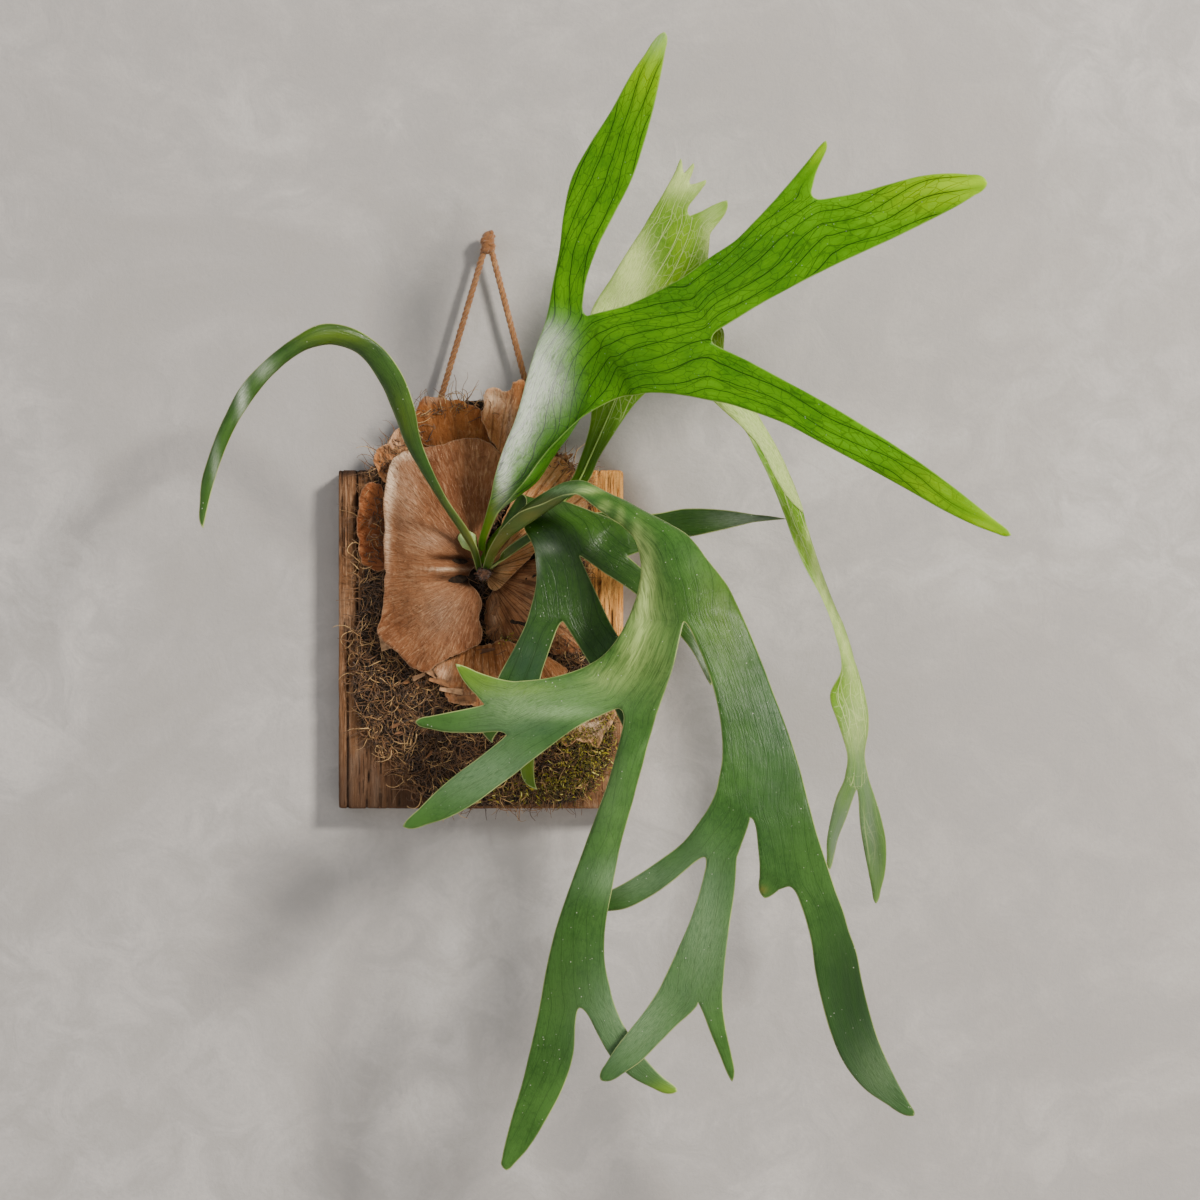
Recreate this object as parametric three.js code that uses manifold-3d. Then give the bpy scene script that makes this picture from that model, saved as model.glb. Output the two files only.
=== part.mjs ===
// A staghorn fern grown onto a weathered board that hangs on the wall by a rope.
// Millimetres. +X is to the right and +Z up as the plant is looked at, and the wall is the plane y = 0.
// The plant stands out of the wall towards -Y. The origin is the middle of the board's back face.
import * as THREE from "three";
import { mergeVertices } from "three/addons/utils/BufferGeometryUtils.js";
import Module from "manifold-3d";

const wasm = await Module();
wasm.setup();

// ---- driving dimensions ----
const BOARD = { width: 212, height: 252, thickness: 25, corner: 2, bevel: 1.2 };
const GAP = 0.3; // between pieces that touch
const ROPE = { diameter: 5, plane: 12.5, intoBoard: 24, sides: 8, pitch: 15 };
const ROPE_HOLE = { diameter: 6, left: -46, right: 50 }; // x of the two holes in the top edge
const KNOT = { x: 4.8, z: 296, wide: 15, deep: 13, tall: 20 };
const KNOT_LEG = { apart: 5.6, seat: 4 }; // between the two legs in the knot, and their depth in it

// The rhizome that the stalks grow from: its middle, half widths and height, and its root in the mound.
const BUD = { x: 3, z: 61, wide: 14, tall: 13, height: 30, rooted: 3, lumps: 0.07 };
const STALK_THICKNESS = 3.2;
const BLADE_THICKNESS = 1.3;
const STALKS_LEAVE = 49; // the stalks leave the rhizome this far out of the wall
const THINS_OVER = 45; // the stalk thins to a blade over about this distance from the bud
const SHIELD = { thickness: 1.8, layer: 3, clearance: 0.9, seatReach: 14 };
const MOUND = { x: -4, z: 25, rim: 4, rise: 6 };

// The eye that the leaf outlines are drawn for: 2.6 m in front of this point of the wall.
const EYE = { x: 88.5, z: 29.25, distance: 2600 };

// ---- places ----

// The point that covers (x, z) of the wall for the eye, and stands out of the wall by out.
function seen(x, z, out) {
  const k = 1 - out / EYE.distance;
  return new THREE.Vector3(EYE.x + (x - EYE.x) * k, -out, EYE.z + (z - EYE.z) * k);
}

// ---- solids from meshes ----

function solidOf(geometry) {
  const bare = new THREE.BufferGeometry();
  bare.setAttribute("position", geometry.getAttribute("position").clone());
  if (geometry.index) bare.setIndex(geometry.index);
  const merged = mergeVertices(bare, 1e-4);
  const mesh = new wasm.Mesh({
    numProp: 3,
    vertProperties: new Float32Array(merged.attributes.position.array),
    triVerts: new Uint32Array(merged.index.array),
  });
  return new wasm.Manifold(mesh);
}

function geometryOf(solid) {
  const mesh = solid.getMesh();
  const places = new Float32Array(mesh.numVert * 3);
  for (let i = 0; i < mesh.numVert; i++) {
    const first = i * mesh.numProp;
    places.set(mesh.vertProperties.subarray(first, first + 3), i * 3);
  }
  const geometry = new THREE.BufferGeometry();
  geometry.setAttribute("position", new THREE.BufferAttribute(places, 3));
  geometry.setIndex(new THREE.BufferAttribute(new Uint32Array(mesh.triVerts), 1));
  geometry.computeVertexNormals();
  return geometry;
}

// A closed skin from points and triangles, turned so that its faces point out.
function closedGeometry(points, triangles) {
  let volume = 0;
  for (const [a, b, c] of triangles) {
    volume += points[a].dot(points[b].clone().cross(points[c])) / 6;
  }
  const outward = volume < 0 ? triangles.map(([a, b, c]) => [a, c, b]) : triangles;
  const geometry = new THREE.BufferGeometry();
  geometry.setFromPoints(points);
  geometry.setIndex(outward.flat());
  geometry.computeVertexNormals();
  return geometry;
}

// Gives a one-sided surface its thickness, half to each side, with a wall round its rim.
function thicken(points, triangles, thicknessAt) {
  const normals = points.map(() => new THREE.Vector3());
  const free = new Map();
  for (const [a, b, c] of triangles) {
    const ab = points[b].clone().sub(points[a]);
    const ac = points[c].clone().sub(points[a]);
    const normal = ab.cross(ac);
    for (const corner of [a, b, c]) normals[corner].add(normal);
    for (const [p, q] of [[a, b], [b, c], [c, a]]) {
      if (!free.delete(q + "_" + p)) free.set(p + "_" + q, [p, q]);
    }
  }
  const count = points.length;
  const front = [];
  const back = [];
  points.forEach((point, i) => {
    const half = normals[i].normalize().multiplyScalar(thicknessAt(point) / 2);
    front.push(point.clone().add(half));
    back.push(point.clone().sub(half));
  });
  const skin = [...triangles];
  for (const [a, b, c] of triangles) skin.push([a + count, c + count, b + count]);
  for (const [p, q] of free.values()) {
    skin.push([q, p, p + count]);
    skin.push([q, p + count, q + count]);
  }
  return closedGeometry([...front, ...back], skin);
}

// ---- leaves ----
// A leaf is a strip of sections. A section holds its left and right margin, each as seen by the eye
// with its distance out of the wall, and a third number says how far its middle bulges to the eye,
// or a third point gives its middle. A strip ends in a tip, or it forks at the bottom of a sinus
// into a left and a right strip.

const LEAF_STEP = 15; // between rows
const COLUMN = 15; // between the points of a row
const MOST_COLUMNS = 6;
const TIP_ROWS = [0.4, 0.75]; // where the rows of a tip lie between the last section and its point
const TIP_BLUNTNESS = 0.8;
const SOCKET_SPANS = 2; // sections of a stalk that may lie in its socket

function sectionOf(numbers) {
  const left = seen(numbers[0], numbers[1], numbers[2]);
  const right = seen(numbers[3], numbers[4], numbers[5]);
  if (numbers.length > 7) return [left, seen(numbers[6], numbers[7], numbers[8]), right];
  const middle = left.clone().lerp(right, 0.5);
  middle.y -= numbers[6] ?? 0;
  return [left, middle, right];
}

// The point at u of the smooth curve through three points that lie at 0, share and 1.
function through(first, inner, last, share, u) {
  const weights = [
    ((u - share) * (u - 1)) / share,
    (u * (u - 1)) / (share * (share - 1)),
    (u * (u - share)) / (1 - share),
  ];
  const point = new THREE.Vector3();
  [first, inner, last].forEach((p, i) => point.addScaledVector(p, weights[i]));
  return point;
}

function columnsFor(section) {
  const width = section[0].distanceTo(section[1]) + section[1].distanceTo(section[2]);
  return THREE.MathUtils.clamp(Math.round(width / COLUMN) + 1, 2, MOST_COLUMNS);
}

// The margin that leaves the bottom of a sinus: it turns round like a quarter of an ellipse.
function roundOut(start, end, heading, t) {
  const along = heading.clone().multiplyScalar(end.clone().sub(start).dot(heading));
  const corner = end.clone().sub(along);
  const angle = (t * Math.PI) / 2;
  const point = start.clone();
  point.addScaledVector(corner.clone().sub(start), Math.sin(angle));
  point.addScaledVector(end.clone().sub(corner), 1 - Math.cos(angle));
  return point;
}

// The margin that closes a tip: it keeps its heading at first and then turns to the tip.
function closeIn(start, tip, heading, blunt, t) {
  const reach = tip.clone().sub(start).dot(heading) * blunt;
  const corner = start.clone().addScaledVector(heading, reach);
  const point = start.clone().multiplyScalar((1 - t) ** 2);
  point.addScaledVector(corner, 2 * t * (1 - t));
  return point.addScaledVector(tip, t * t);
}

class Leaf {
  constructor() {
    this.points = [];
    this.triangles = [];
  }

  addPoint(point) {
    this.points.push(point);
    return this.points.length - 1;
  }

  addRow(section) {
    const columns = columnsFor(section);
    const row = [];
    for (let i = 0; i <= columns; i++) {
      row.push(this.addPoint(through(section[0], section[1], section[2], 0.5, i / columns)));
    }
    return row;
  }

  // Triangles between two rows, which may differ in their number of points.
  join(below, above) {
    let i = 0;
    let j = 0;
    while (i < below.length - 1 || j < above.length - 1) {
      const nextBelow = (i + 1) / (below.length - 1 || 1);
      const nextAbove = (j + 1) / (above.length - 1 || 1);
      const stepBelow = j >= above.length - 1 || (i < below.length - 1 && nextBelow <= nextAbove);
      if (stepBelow) {
        this.triangles.push([below[i], below[i + 1], above[j]]);
        i += 1;
      } else {
        this.triangles.push([below[i], above[j + 1], above[j]]);
        j += 1;
      }
    }
  }

  // start: the section and the row of points that the strip grows from, the margin that comes from a
  // sinus (0 left, 2 right, or none), and the section before it.
  addStrip(strip, start) {
    const sections = strip.rows.map(sectionOf);
    if (start) sections.unshift(start.section);
    let fork;
    if (strip.fork) {
      fork = this.forkOf(strip.fork);
      sections.push(fork.section);
    }
    const tracks = [0, 1, 2].map((side) => this.trackOf(sections, side, start));
    let row = start ? start.row : this.addRow(sections[0]);
    for (let span = 0; span < sections.length - 1; span++) {
      const last = span === sections.length - 2;
      const length = sections[span][1].distanceTo(sections[span + 1][1]);
      const opening = start && span === 0;
      const steps = Math.max(opening ? 2 : 1, Math.round(length / LEAF_STEP));
      for (let step = 1; step <= steps; step++) {
        const t = step / steps;
        const isFork = last && step === steps && fork;
        const section = tracks.map((track, side) => {
          if (opening && side === start.inner) {
            const heading = track.heading(1);
            return roundOut(sections[0][side], sections[1][side], heading, t);
          }
          return track.at(span + t);
        });
        const next = isFork ? fork.points.map((p) => this.addPoint(p)) : this.addRow(section);
        this.join(row, next);
        row = next;
      }
    }
    if (strip.fork) this.addBranches(strip, sections, fork, row);
    else this.addTip(strip, sections, tracks, row);
  }

  // A smooth curve through one margin, or the middle, of all the sections of a strip.
  trackOf(sections, side, start) {
    const places = sections.map((section) => section[side]);
    const lead = start && start.before && side !== start.inner ? 1 : 0;
    if (lead) places.unshift(start.before[side]);
    if (start && side === start.inner && places.length > 2) places.shift();
    const skipped = start && side === start.inner && sections.length > 2 ? 1 : 0;
    const curve = new THREE.CatmullRomCurve3(places, false, "centripetal");
    const share = (place) => (place + lead - skipped) / (places.length - 1);
    return {
      at: (place) => curve.getPoint(share(place)),
      heading: (place) => curve.getTangent(share(place)),
    };
  }

  forkOf(numbers) {
    const [a, b] = [seen(...numbers.slice(0, 3)), seen(...numbers.slice(6, 9))];
    const sinus = seen(...numbers.slice(3, 6));
    const width = a.distanceTo(sinus) + sinus.distanceTo(b);
    const columns = THREE.MathUtils.clamp(Math.round(width / COLUMN) + 1, 3, MOST_COLUMNS);
    const wanted = (a.distanceTo(sinus) / width) * columns;
    const at = THREE.MathUtils.clamp(Math.round(wanted), 1, columns - 1);
    const share = at / columns;
    const place = (u) =>
      u < share
        ? a.clone().lerp(sinus, u / share)
        : sinus.clone().lerp(b, (u - share) / (1 - share));
    const points = Array.from({ length: columns + 1 }, (_, i) => place(i / columns));
    return { section: [a, place(0.5), b], points, at, share, place, sinus };
  }

  addBranches(strip, sections, fork, row) {
    const [a, , b] = fork.section;
    const before = sections[sections.length - 2];
    this.addStrip(strip.left, {
      section: [a, fork.place(fork.share / 2), fork.sinus],
      row: row.slice(0, fork.at + 1),
      inner: 2,
      before: [before[0], before[0].clone().lerp(before[1], fork.share), null],
    });
    this.addStrip(strip.right, {
      section: [fork.sinus, fork.place((1 + fork.share) / 2), b],
      row: row.slice(fork.at),
      inner: 0,
      before: [null, before[1].clone().lerp(before[2], fork.share), before[2]],
    });
  }

  addTip(strip, sections, tracks, row) {
    const tip = seen(...strip.tip);
    const last = sections.length - 1;
    const middle = tracks[1].heading(last);
    const headings = tracks.map((track) => track.heading(last).add(middle).normalize());
    for (const t of TIP_ROWS) {
      const section = [0, 1, 2].map((side) =>
        closeIn(sections[last][side], tip, headings[side], strip.blunt ?? TIP_BLUNTNESS, t),
      );
      const next = this.addRow(section);
      this.join(row, next);
      row = next;
    }
    this.join(row, [this.addPoint(tip)]);
  }
}

const budPoint = seen(BUD.x, BUD.z, STALKS_LEAVE);

function leafThickness(point) {
  const far = point.distanceTo(budPoint);
  return BLADE_THICKNESS + (STALK_THICKNESS - BLADE_THICKNESS) * Math.exp(-far / THINS_OVER);
}

function leafGeometry(strip) {
  const leaf = new Leaf();
  leaf.addStrip(strip);
  return thicken(leaf.points, leaf.triangles, leafThickness);
}

// The hole that a stalk's foot fills in the rhizome, wider than the foot all round.
function footSocket(strip) {
  const sections = strip.rows.slice(0, SOCKET_SPANS + 2).map(sectionOf);
  const leaf = new Leaf();
  const tracks = [0, 1, 2].map((side) => leaf.trackOf(sections, side));
  const widerAt = (place) => {
    const [left, middle, right] = tracks.map((track) => track.at(place));
    const beyond = (margin) => margin.clone().sub(middle).setLength(2 * GAP).add(margin);
    return [beyond(left), middle, beyond(right)];
  };
  const backwards = tracks[1].heading(0).multiplyScalar(-2 * GAP);
  let row = leaf.addRow(widerAt(0).map((point) => point.add(backwards)));
  for (let span = 0; span < SOCKET_SPANS; span++) {
    const length = sections[span][1].distanceTo(sections[span + 1][1]);
    const steps = Math.max(1, Math.round(length / LEAF_STEP));
    for (let step = 1; step <= steps; step++) {
      const next = leaf.addRow(widerAt(span + step / steps));
      leaf.join(row, next);
      row = next;
    }
  }
  return thicken(leaf.points, leaf.triangles, (point) => leafThickness(point) + 5 * GAP);
}

const upFrond = {
  rows: [
    [-2.5, 66.5, 56, 2.5, 67.5, 56],
    [-2.5, 74, 64, 3.5, 75, 66],
    [0.5, 85, 72, 8.5, 87, 75],
    [3.5, 96, 78, 14, 98, 84, 12, 96, 79],
    [6.5, 107, 85, 22, 107, 96, 25, 106, 88],
    [9, 120, 92, 32, 119, 107, 40, 119, 96],
    [13, 134, 98, 43, 134, 115, 49, 134, 103],
    [18, 148, 103, 54, 147, 121, 57, 147, 109],
    [24, 162, 108, 68, 161, 126, 65, 162, 114],
    [29, 178, 112, 84, 171.5, 130, 66, 180, 120],
    [34, 197, 117, 97, 178.5, 135, 71, 198, 127],
    [40, 217, 123, 107, 182, 140, 79, 214, 133],
  ],
  fork: [46.5, 235, 129, 79, 242.5, 138, 115, 182.8, 145],
  left: {
    rows: [
      [50, 249, 132, 75.5, 251, 138],
      [53, 266, 136, 78, 268, 142],
      [58, 292, 145, 86, 292, 151],
      [61, 318, 153, 99, 318, 160],
      [67, 345, 162, 113, 346, 169],
      [80, 370, 172, 122, 373, 178],
      [96, 395, 182, 129, 399, 187],
      [112, 424, 192, 135, 427, 195],
      [123, 440, 197, 138, 443, 199],
    ],
    tip: [137, 455.5, 203],
  },
  right: {
    rows: [
      [90, 245.5, 141, 125, 184.5, 150],
      [110, 251, 146, 140, 184, 155],
      [130, 260, 151, 155, 182, 159],
    ],
    fork: [147, 269, 156, 173, 222, 165, 170, 179, 164],
    left: {
      rows: [
        [156, 275, 159, 177.5, 232, 168],
        [172, 287, 164, 194, 242, 174],
        [190, 299, 171, 214, 254, 181],
        [206, 315, 177, 238, 267, 188],
      ],
      fork: [220, 330, 183, 251, 330.5, 189, 266, 281, 193],
      left: {
        rows: [
          [226, 337, 185, 247.5, 336.5, 190],
          [238, 351, 190, 251, 350, 192],
          [247, 362, 194, 256, 361, 195],
        ],
        tip: [258, 374, 199],
      },
      right: {
        rows: [
          [259, 330.5, 190, 279, 287, 195],
          [283, 335, 194, 300, 296.5, 198],
          [306, 341.5, 198, 322, 307, 201],
          [330, 347.5, 201, 342, 317, 204],
          [352, 349.5, 204, 358, 325.5, 206],
          [367, 348.5, 206, 370, 333, 207],
        ],
        tip: [379, 342.5, 208],
      },
    },
    right: {
      rows: [
        [181, 217.5, 166, 184, 176.5, 168],
        [200, 208.5, 171, 203, 170.5, 173],
        [228, 193.5, 179, 228, 161, 181],
        [260, 176, 188, 258, 145, 190],
        [290, 158, 197, 288, 129, 199],
        [320, 138.5, 206, 318, 112.5, 208],
        [350, 117, 215, 347, 96, 216],
        [374, 98, 222, 371, 84.5, 222.5],
        [388, 87, 226, 387, 78.5, 226],
      ],
      tip: [397, 78, 229],
    },
  },
};

const backFrond = {
  rows: [
    [3, 71, 50.5, 7.5, 70.5, 50.5],
    [14, 85, 53, 20, 79, 53],
    [33, 99, 55, 41, 91, 55],
    [52, 111, 58, 61, 102, 58],
    [66, 119, 63, 79.5, 118, 63],
    [73, 134, 68, 88, 136, 68],
    [78, 149, 73, 96.5, 150, 73],
    [81.5, 165, 77, 107, 166, 77],
    [82, 185, 82, 118, 180, 83],
    [81, 205, 86, 134, 192, 90],
  ],
  fork: [80, 226, 90, 150, 238, 96, 152, 193, 98],
  left: {
    rows: [
      [82, 246, 94, 160, 258, 100],
      [97, 271, 100, 168, 274, 105],
      [108, 289, 105, 170, 290, 109],
    ],
    fork: [121, 309, 110, 156, 317.5, 114, 171, 303, 113],
    left: {
      rows: [[125, 316, 111, 156, 326, 115]],
      fork: [134, 331, 115, 156.5, 341, 118, 164, 336, 117],
      left: {
        rows: [[138, 338, 117, 156, 345, 118.5]],
        fork: [142.5, 346, 118.5, 151.5, 349.5, 120, 158, 350, 120],
        left: { rows: [[145.5, 352, 119.5, 150.5, 353, 120]], tip: [149, 360.5, 121] },
        right: { rows: [[153.5, 351.5, 120.5, 158.5, 352, 120.5]], tip: [158.5, 357, 121.5] },
      },
      right: { rows: [[160, 341.5, 118.5, 166, 339, 118]], tip: [168, 344.5, 119] },
    },
    right: { rows: [[165, 321, 115, 176.5, 311, 114]], tip: [184, 329, 117] },
  },
  right: {
    rows: [
      [170, 243, 99, 158, 190, 101],
      [181, 232, 100, 164, 186, 104],
      [182, 213, 102, 173, 179, 107],
      [194, 191, 104, 184, 168.5, 111],
      [207, 168, 105, 198, 155.5, 116],
      [225, 136, 107, 207, 139, 120],
      [237, 108, 109, 218, 115, 124],
      [243.5, 85, 110, 229, 86, 128],
      [252.5, 57, 112, 241, 56, 132],
      [263.5, 28, 114, 256, 28, 134],
      [273, 5, 116, 265, 3, 136],
      [281, -20, 119, 270, -22, 137],
      [288, -45, 122, 261, -42, 135],
      [290, -66, 125, 268, -66, 134],
      [287, -88, 128, 274, -88, 134],
    ],
    fork: [290, -104, 130, 281, -113, 133, 272, -104, 134],
    left: {
      rows: [
        [294, -116, 130, 282.5, -122, 133],
        [299, -132, 130, 283.5, -140, 132],
        [303, -152, 131, 286.5, -158, 132],
        [302.5, -174, 132, 290, -176, 133],
        [299, -189, 133, 292.5, -189, 133],
      ],
      tip: [295.5, -198.5, 134],
    },
    right: {
      rows: [
        [277.5, -122, 132, 265.5, -119, 133],
        [273, -135, 131, 261.5, -135, 132],
        [267, -150, 130, 258.5, -152, 131],
        [264, -163, 129, 258.5, -164, 129],
      ],
      tip: [261, -173, 128],
    },
  },
};

const leftFrond = {
  rows: [
    [-6.5, 59.5, 57, -1.5, 61.5, 57],
    [-9.5, 68, 65, -4, 70, 66.5],
    [-16.5, 80, 73, -10, 81.5, 74.5],
    [-33, 105, 84, -26, 105, 86, -30, 104, 87],
    [-47, 128, 94, -38, 129, 97, -43, 127, 98],
    [-58, 148, 103, -46, 150, 107, -53, 148, 108],
    [-67, 172, 112, -51, 175, 117, -59, 173, 118],
    [-78, 195, 121, -60, 199, 126, -69, 197, 127],
    [-93, 214, 129, -75, 219, 133, -84, 217, 134],
    [-110, 220.5, 135, -97, 233, 138, -103, 227, 140],
    [-128, 218, 140, -120, 236.5, 142, -124, 227, 145],
    [-148, 206, 145, -144, 224, 147, -146, 215, 149],
    [-165, 189, 149, -165, 207, 150, -165, 198, 153],
    [-178, 171, 152, -181, 189, 153, -179, 180, 155],
    [-189, 151, 155, -193, 167, 155, -191, 159, 158],
    [-197, 130, 157, -203, 143, 157, -200, 136, 159],
    [-203, 110, 159, -210.5, 118, 159, -206.5, 114, 160],
    [-206.5, 95, 160, -212, 99, 160],
  ],
  tip: [-209, 83, 161],
};

const frontFrond = {
  rows: [
    [1, 55.5, 59, 7, 54.5, 58.5, 4, 53.5, 61],
    [6, 69, 85, 13, 71, 80, 11.5, 66, 86],
    [15, 83, 100, 22, 88, 91, 22, 77, 100],
    [28, 95, 112, 34, 101.5, 101, 33.5, 85, 111],
    [45, 101.5, 123, 50, 112, 112, 49, 96, 119],
    [60, 108, 133, 65, 118.6, 125, 64, 106, 132],
    [71, 108.5, 141, 76, 118.9, 131, 74, 112, 140],
    [84, 99.5, 149, 94, 109.5, 139, 89.5, 105.5, 148],
    [95, 91.5, 155, 109, 103, 149, 102, 100, 160],
    [106, 84, 159, 126, 94, 157, 114, 91, 166],
    [115, 74, 162, 141, 86, 165, 126, 81, 171],
    [118.5, 62, 164, 155, 77, 172, 135, 70, 177],
    [119.5, 50, 167, 169, 60, 178, 141, 55, 183],
    [117, 35, 171, 184, 40, 184, 147, 37, 190],
  ],
  fork: [111, 18, 177, 151.5, 12.5, 198, 196, 16, 192],
  left: {
    rows: [
      [105, 6, 180, 148.5, 1, 200],
      [96, -7, 184, 144, -19, 203],
      [88, -14.5, 187, 138.5, -36, 205],
    ],
    fork: [78, -20.5, 190, 103, -52.5, 201, 131, -57, 207],
    left: {
      rows: [
        [65, -25.5, 192, 92, -56, 199],
        [48, -29.5, 194, 73, -65, 198],
      ],
      fork: [25, -31.8, 195, 18, -72, 193, 36, -92, 195],
      left: {
        rows: [[12, -29.7, 193, 9, -69.5, 192]],
        fork: [3, -27, 192, 1.5, -49, 191, -4, -70.5, 190],
        left: { rows: [[-4, -24.5, 190, -5, -41.5, 189.5]], tip: [-20, -18.5, 187], blunt: 0.6 },
        right: {
          rows: [
            [-9, -51.8, 189, -13, -70.3, 188],
            [-25, -55, 187, -27, -69.8, 186],
            [-40, -58, 185, -41, -67, 184],
          ],
          tip: [-50, -62, 183],
        },
      },
      right: {
        rows: [
          [9, -80, 191, 25, -101, 192],
          [-3, -89.5, 189, 12, -110.5, 190],
          [-18, -100.5, 187, -5, -123, 188],
          [-34, -114, 185, -25, -134, 185],
          [-48, -128, 183, -42, -139.5, 183],
        ],
        tip: [-59.5, -140.5, 181],
      },
    },
    right: {
      rows: [
        [105.5, -66, 202, 127.5, -69, 207],
        [99, -92, 203, 120.5, -94, 208, 110, -93, 210],
        [90, -120, 204, 113, -122, 208, 102, -121, 210],
        [78, -153, 205, 104, -155, 207, 91, -154, 210],
        [66, -185, 205, 98, -185, 205, 82, -185, 209],
        [56, -215, 204, 93, -212, 203, 74, -214, 207],
        [49, -243, 202, 92, -240, 201, 70, -242, 205],
      ],
      fork: [44, -270, 199, 73, -277, 200, 97, -266, 198],
      left: {
        rows: [
          [41, -286, 197, 70, -290, 198],
          [36, -308, 195, 68.5, -312, 196],
          [30, -333, 192, 61, -336, 193],
          [22.5, -358, 189, 48, -361, 190],
          [17, -379, 186, 34, -383, 187],
          [14.5, -391, 184.5, 24, -394, 185],
        ],
        tip: [18, -398.5, 184],
      },
      right: {
        rows: [
          [81.5, -286, 198, 103, -283, 197],
          [88, -299, 196, 112, -299, 196],
          [97, -314, 195, 122, -314, 195],
          [112, -328.5, 194, 134, -327, 194],
          [130, -338, 193, 143, -334, 193],
        ],
        tip: [146.5, -339.5, 193],
      },
    },
  },
  right: {
    rows: [
      [159, 1, 201, 203.5, -1, 195],
      [168, -20, 206, 212, -23, 200],
      [175, -43, 211, 220, -44, 206],
      [179.5, -68, 215, 229, -68, 211],
      [180, -90, 218, 237, -92, 215],
    ],
    fork: [176, -112, 220, 201, -134, 222, 247, -130, 219],
    left: {
      rows: [[170, -126, 219, 197, -148, 221]],
      fork: [160, -141, 217, 167, -164, 219, 191.5, -163, 220],
      left: {
        rows: [
          [150, -153, 213, 158, -169, 215],
          [135, -164.5, 207, 142, -182.5, 208],
          [119, -175.5, 199, 125, -194, 199],
          [105, -184, 192, 107, -202.5, 192],
          [92, -190.5, 187, 92, -204.5, 187],
        ],
        tip: [78, -200, 185],
      },
      right: {
        rows: [
          [167, -174, 218, 190.5, -176, 219],
          [163, -190, 218, 189, -193, 219],
          [156, -211, 217, 186, -213, 218],
          [147, -232, 215, 183, -236, 216],
        ],
        fork: [134, -260, 213, 162, -273, 213, 180.5, -264, 213],
        left: {
          rows: [
            [126, -273, 211, 154, -283, 212],
            [120, -281.5, 210, 146, -290, 211],
            [110, -294, 209, 133, -303, 209],
            [100, -307, 207, 119, -317, 207],
            [92, -319.5, 206, 105, -326.5, 206],
          ],
          tip: [89, -331, 205],
        },
        right: {
          rows: [
            [167, -284, 211, 181, -279, 211],
            [171.5, -296, 209, 183.5, -295, 209],
            [179, -314, 206, 187.5, -313, 206],
          ],
          tip: [187.5, -332, 203],
        },
      },
    },
    right: {
      rows: [[206, -146, 222, 251, -145, 219]],
      fork: [208, -168, 222, 229, -186, 220, 265, -188, 216],
      left: { rows: [[208, -179, 220, 223, -188, 219]], tip: [212, -194.5, 218] },
      right: {
        rows: [
          [237, -194, 218, 271, -204, 215],
          [242, -208, 217, 275, -218, 214],
          [247, -228, 214, 281, -235, 212],
          [250, -250, 211, 285, -256, 209],
          [255, -273, 209, 290, -277, 207],
          [262, -297, 207, 297.5, -301, 206],
          [272, -319, 205, 308, -325, 204],
          [287, -337.5, 203, 317.5, -343, 203],
          [305, -350, 202, 323, -352, 202],
        ],
        tip: [324, -357.5, 201],
      },
    },
  },
};

const middleFrond = {
  rows: [
    [7.5, 66, 53.5, 11.5, 64.5, 54],
    [13.5, 83, 66, 19, 79.5, 67],
    [21, 98, 74, 29, 93, 75],
    [29, 109, 80, 39, 102, 81],
    [33, 105, 85, 50, 105, 84],
    [32, 95, 90, 62, 103, 89],
    [31.5, 84, 95, 74, 99, 94, 50, 92, 99],
    [39, 68, 102, 96, 90.5, 101, 64, 81, 107],
  ],
  fork: [41, 50, 107, 73.5, 62, 113, 100, 88.5, 105],
  left: {
    rows: [[39.5, 35, 110, 80, 47, 113]],
    fork: [35.5, 20, 112, 60.5, 13, 115, 92, 21, 113],
    left: {
      rows: [
        [33, 12, 113, 55, 4, 115],
        [25, -5, 115, 50, -10, 116],
        [12, -29, 117, 44, -29, 117],
      ],
      fork: [3, -50, 116, 24, -62, 116, 41, -55, 116],
      left: { rows: [[0, -60, 115, 15, -67, 115]], tip: [8, -78, 111] },
      right: {
        rows: [
          [29, -71, 115, 41, -67, 115],
          [27, -86, 112, 40, -81, 112],
          [29, -99, 107, 39, -94, 107],
        ],
        tip: [41.5, -113, 103],
      },
    },
    right: {
      rows: [
        [68, 2, 116, 98, 9, 114],
        [76, -11, 117, 106, -4, 116],
        [85, -26, 118, 114, -18, 117],
        [94, -42, 118, 120, -36, 117],
        [103, -60, 117, 122, -55, 117],
      ],
      tip: [117, -78, 115],
    },
  },
  right: {
    rows: [[80, 58, 112, 106, 85, 107]],
    fork: [91, 50, 112, 109, 62, 113, 112, 81, 108],
    left: {
      rows: [
        [98, 45.5, 113, 115, 57, 113],
        [108, 39, 115, 125, 48, 115],
        [121, 29, 118, 137, 35, 118],
        [135, 16.5, 121, 150, 19, 121],
        [149, 2, 124, 160, 4, 124],
        [158, -10, 126, 167, -10, 126],
        [165, -23, 127, 171.5, -22, 127],
      ],
      tip: [171.5, -35, 128],
    },
    right: { rows: [[117, 65, 112, 121, 77, 109]], tip: [140, 69, 110], blunt: 0.5 },
  },
};

const lowFrond = {
  rows: [
    [10, 55.5, 54, 13, 58.5, 54],
    [18, 60, 64, 15, 65, 65],
    [30, 68.5, 71, 26, 74, 72],
    [42, 76, 76, 39, 81.5, 77],
    [60, 80, 79, 57, 89, 80],
    [80, 80, 81, 78, 94, 82],
    [103, 76.5, 85, 102, 95.5, 86],
    [130, 74, 91, 128, 94, 92],
    [155, 76.5, 97, 152, 97.8, 98],
    [177, 81, 102, 180, 97, 102],
    [203, 87.3, 106, 206, 93.2, 106],
  ],
  tip: [229, 90, 109],
  blunt: 0.4,
};

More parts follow.
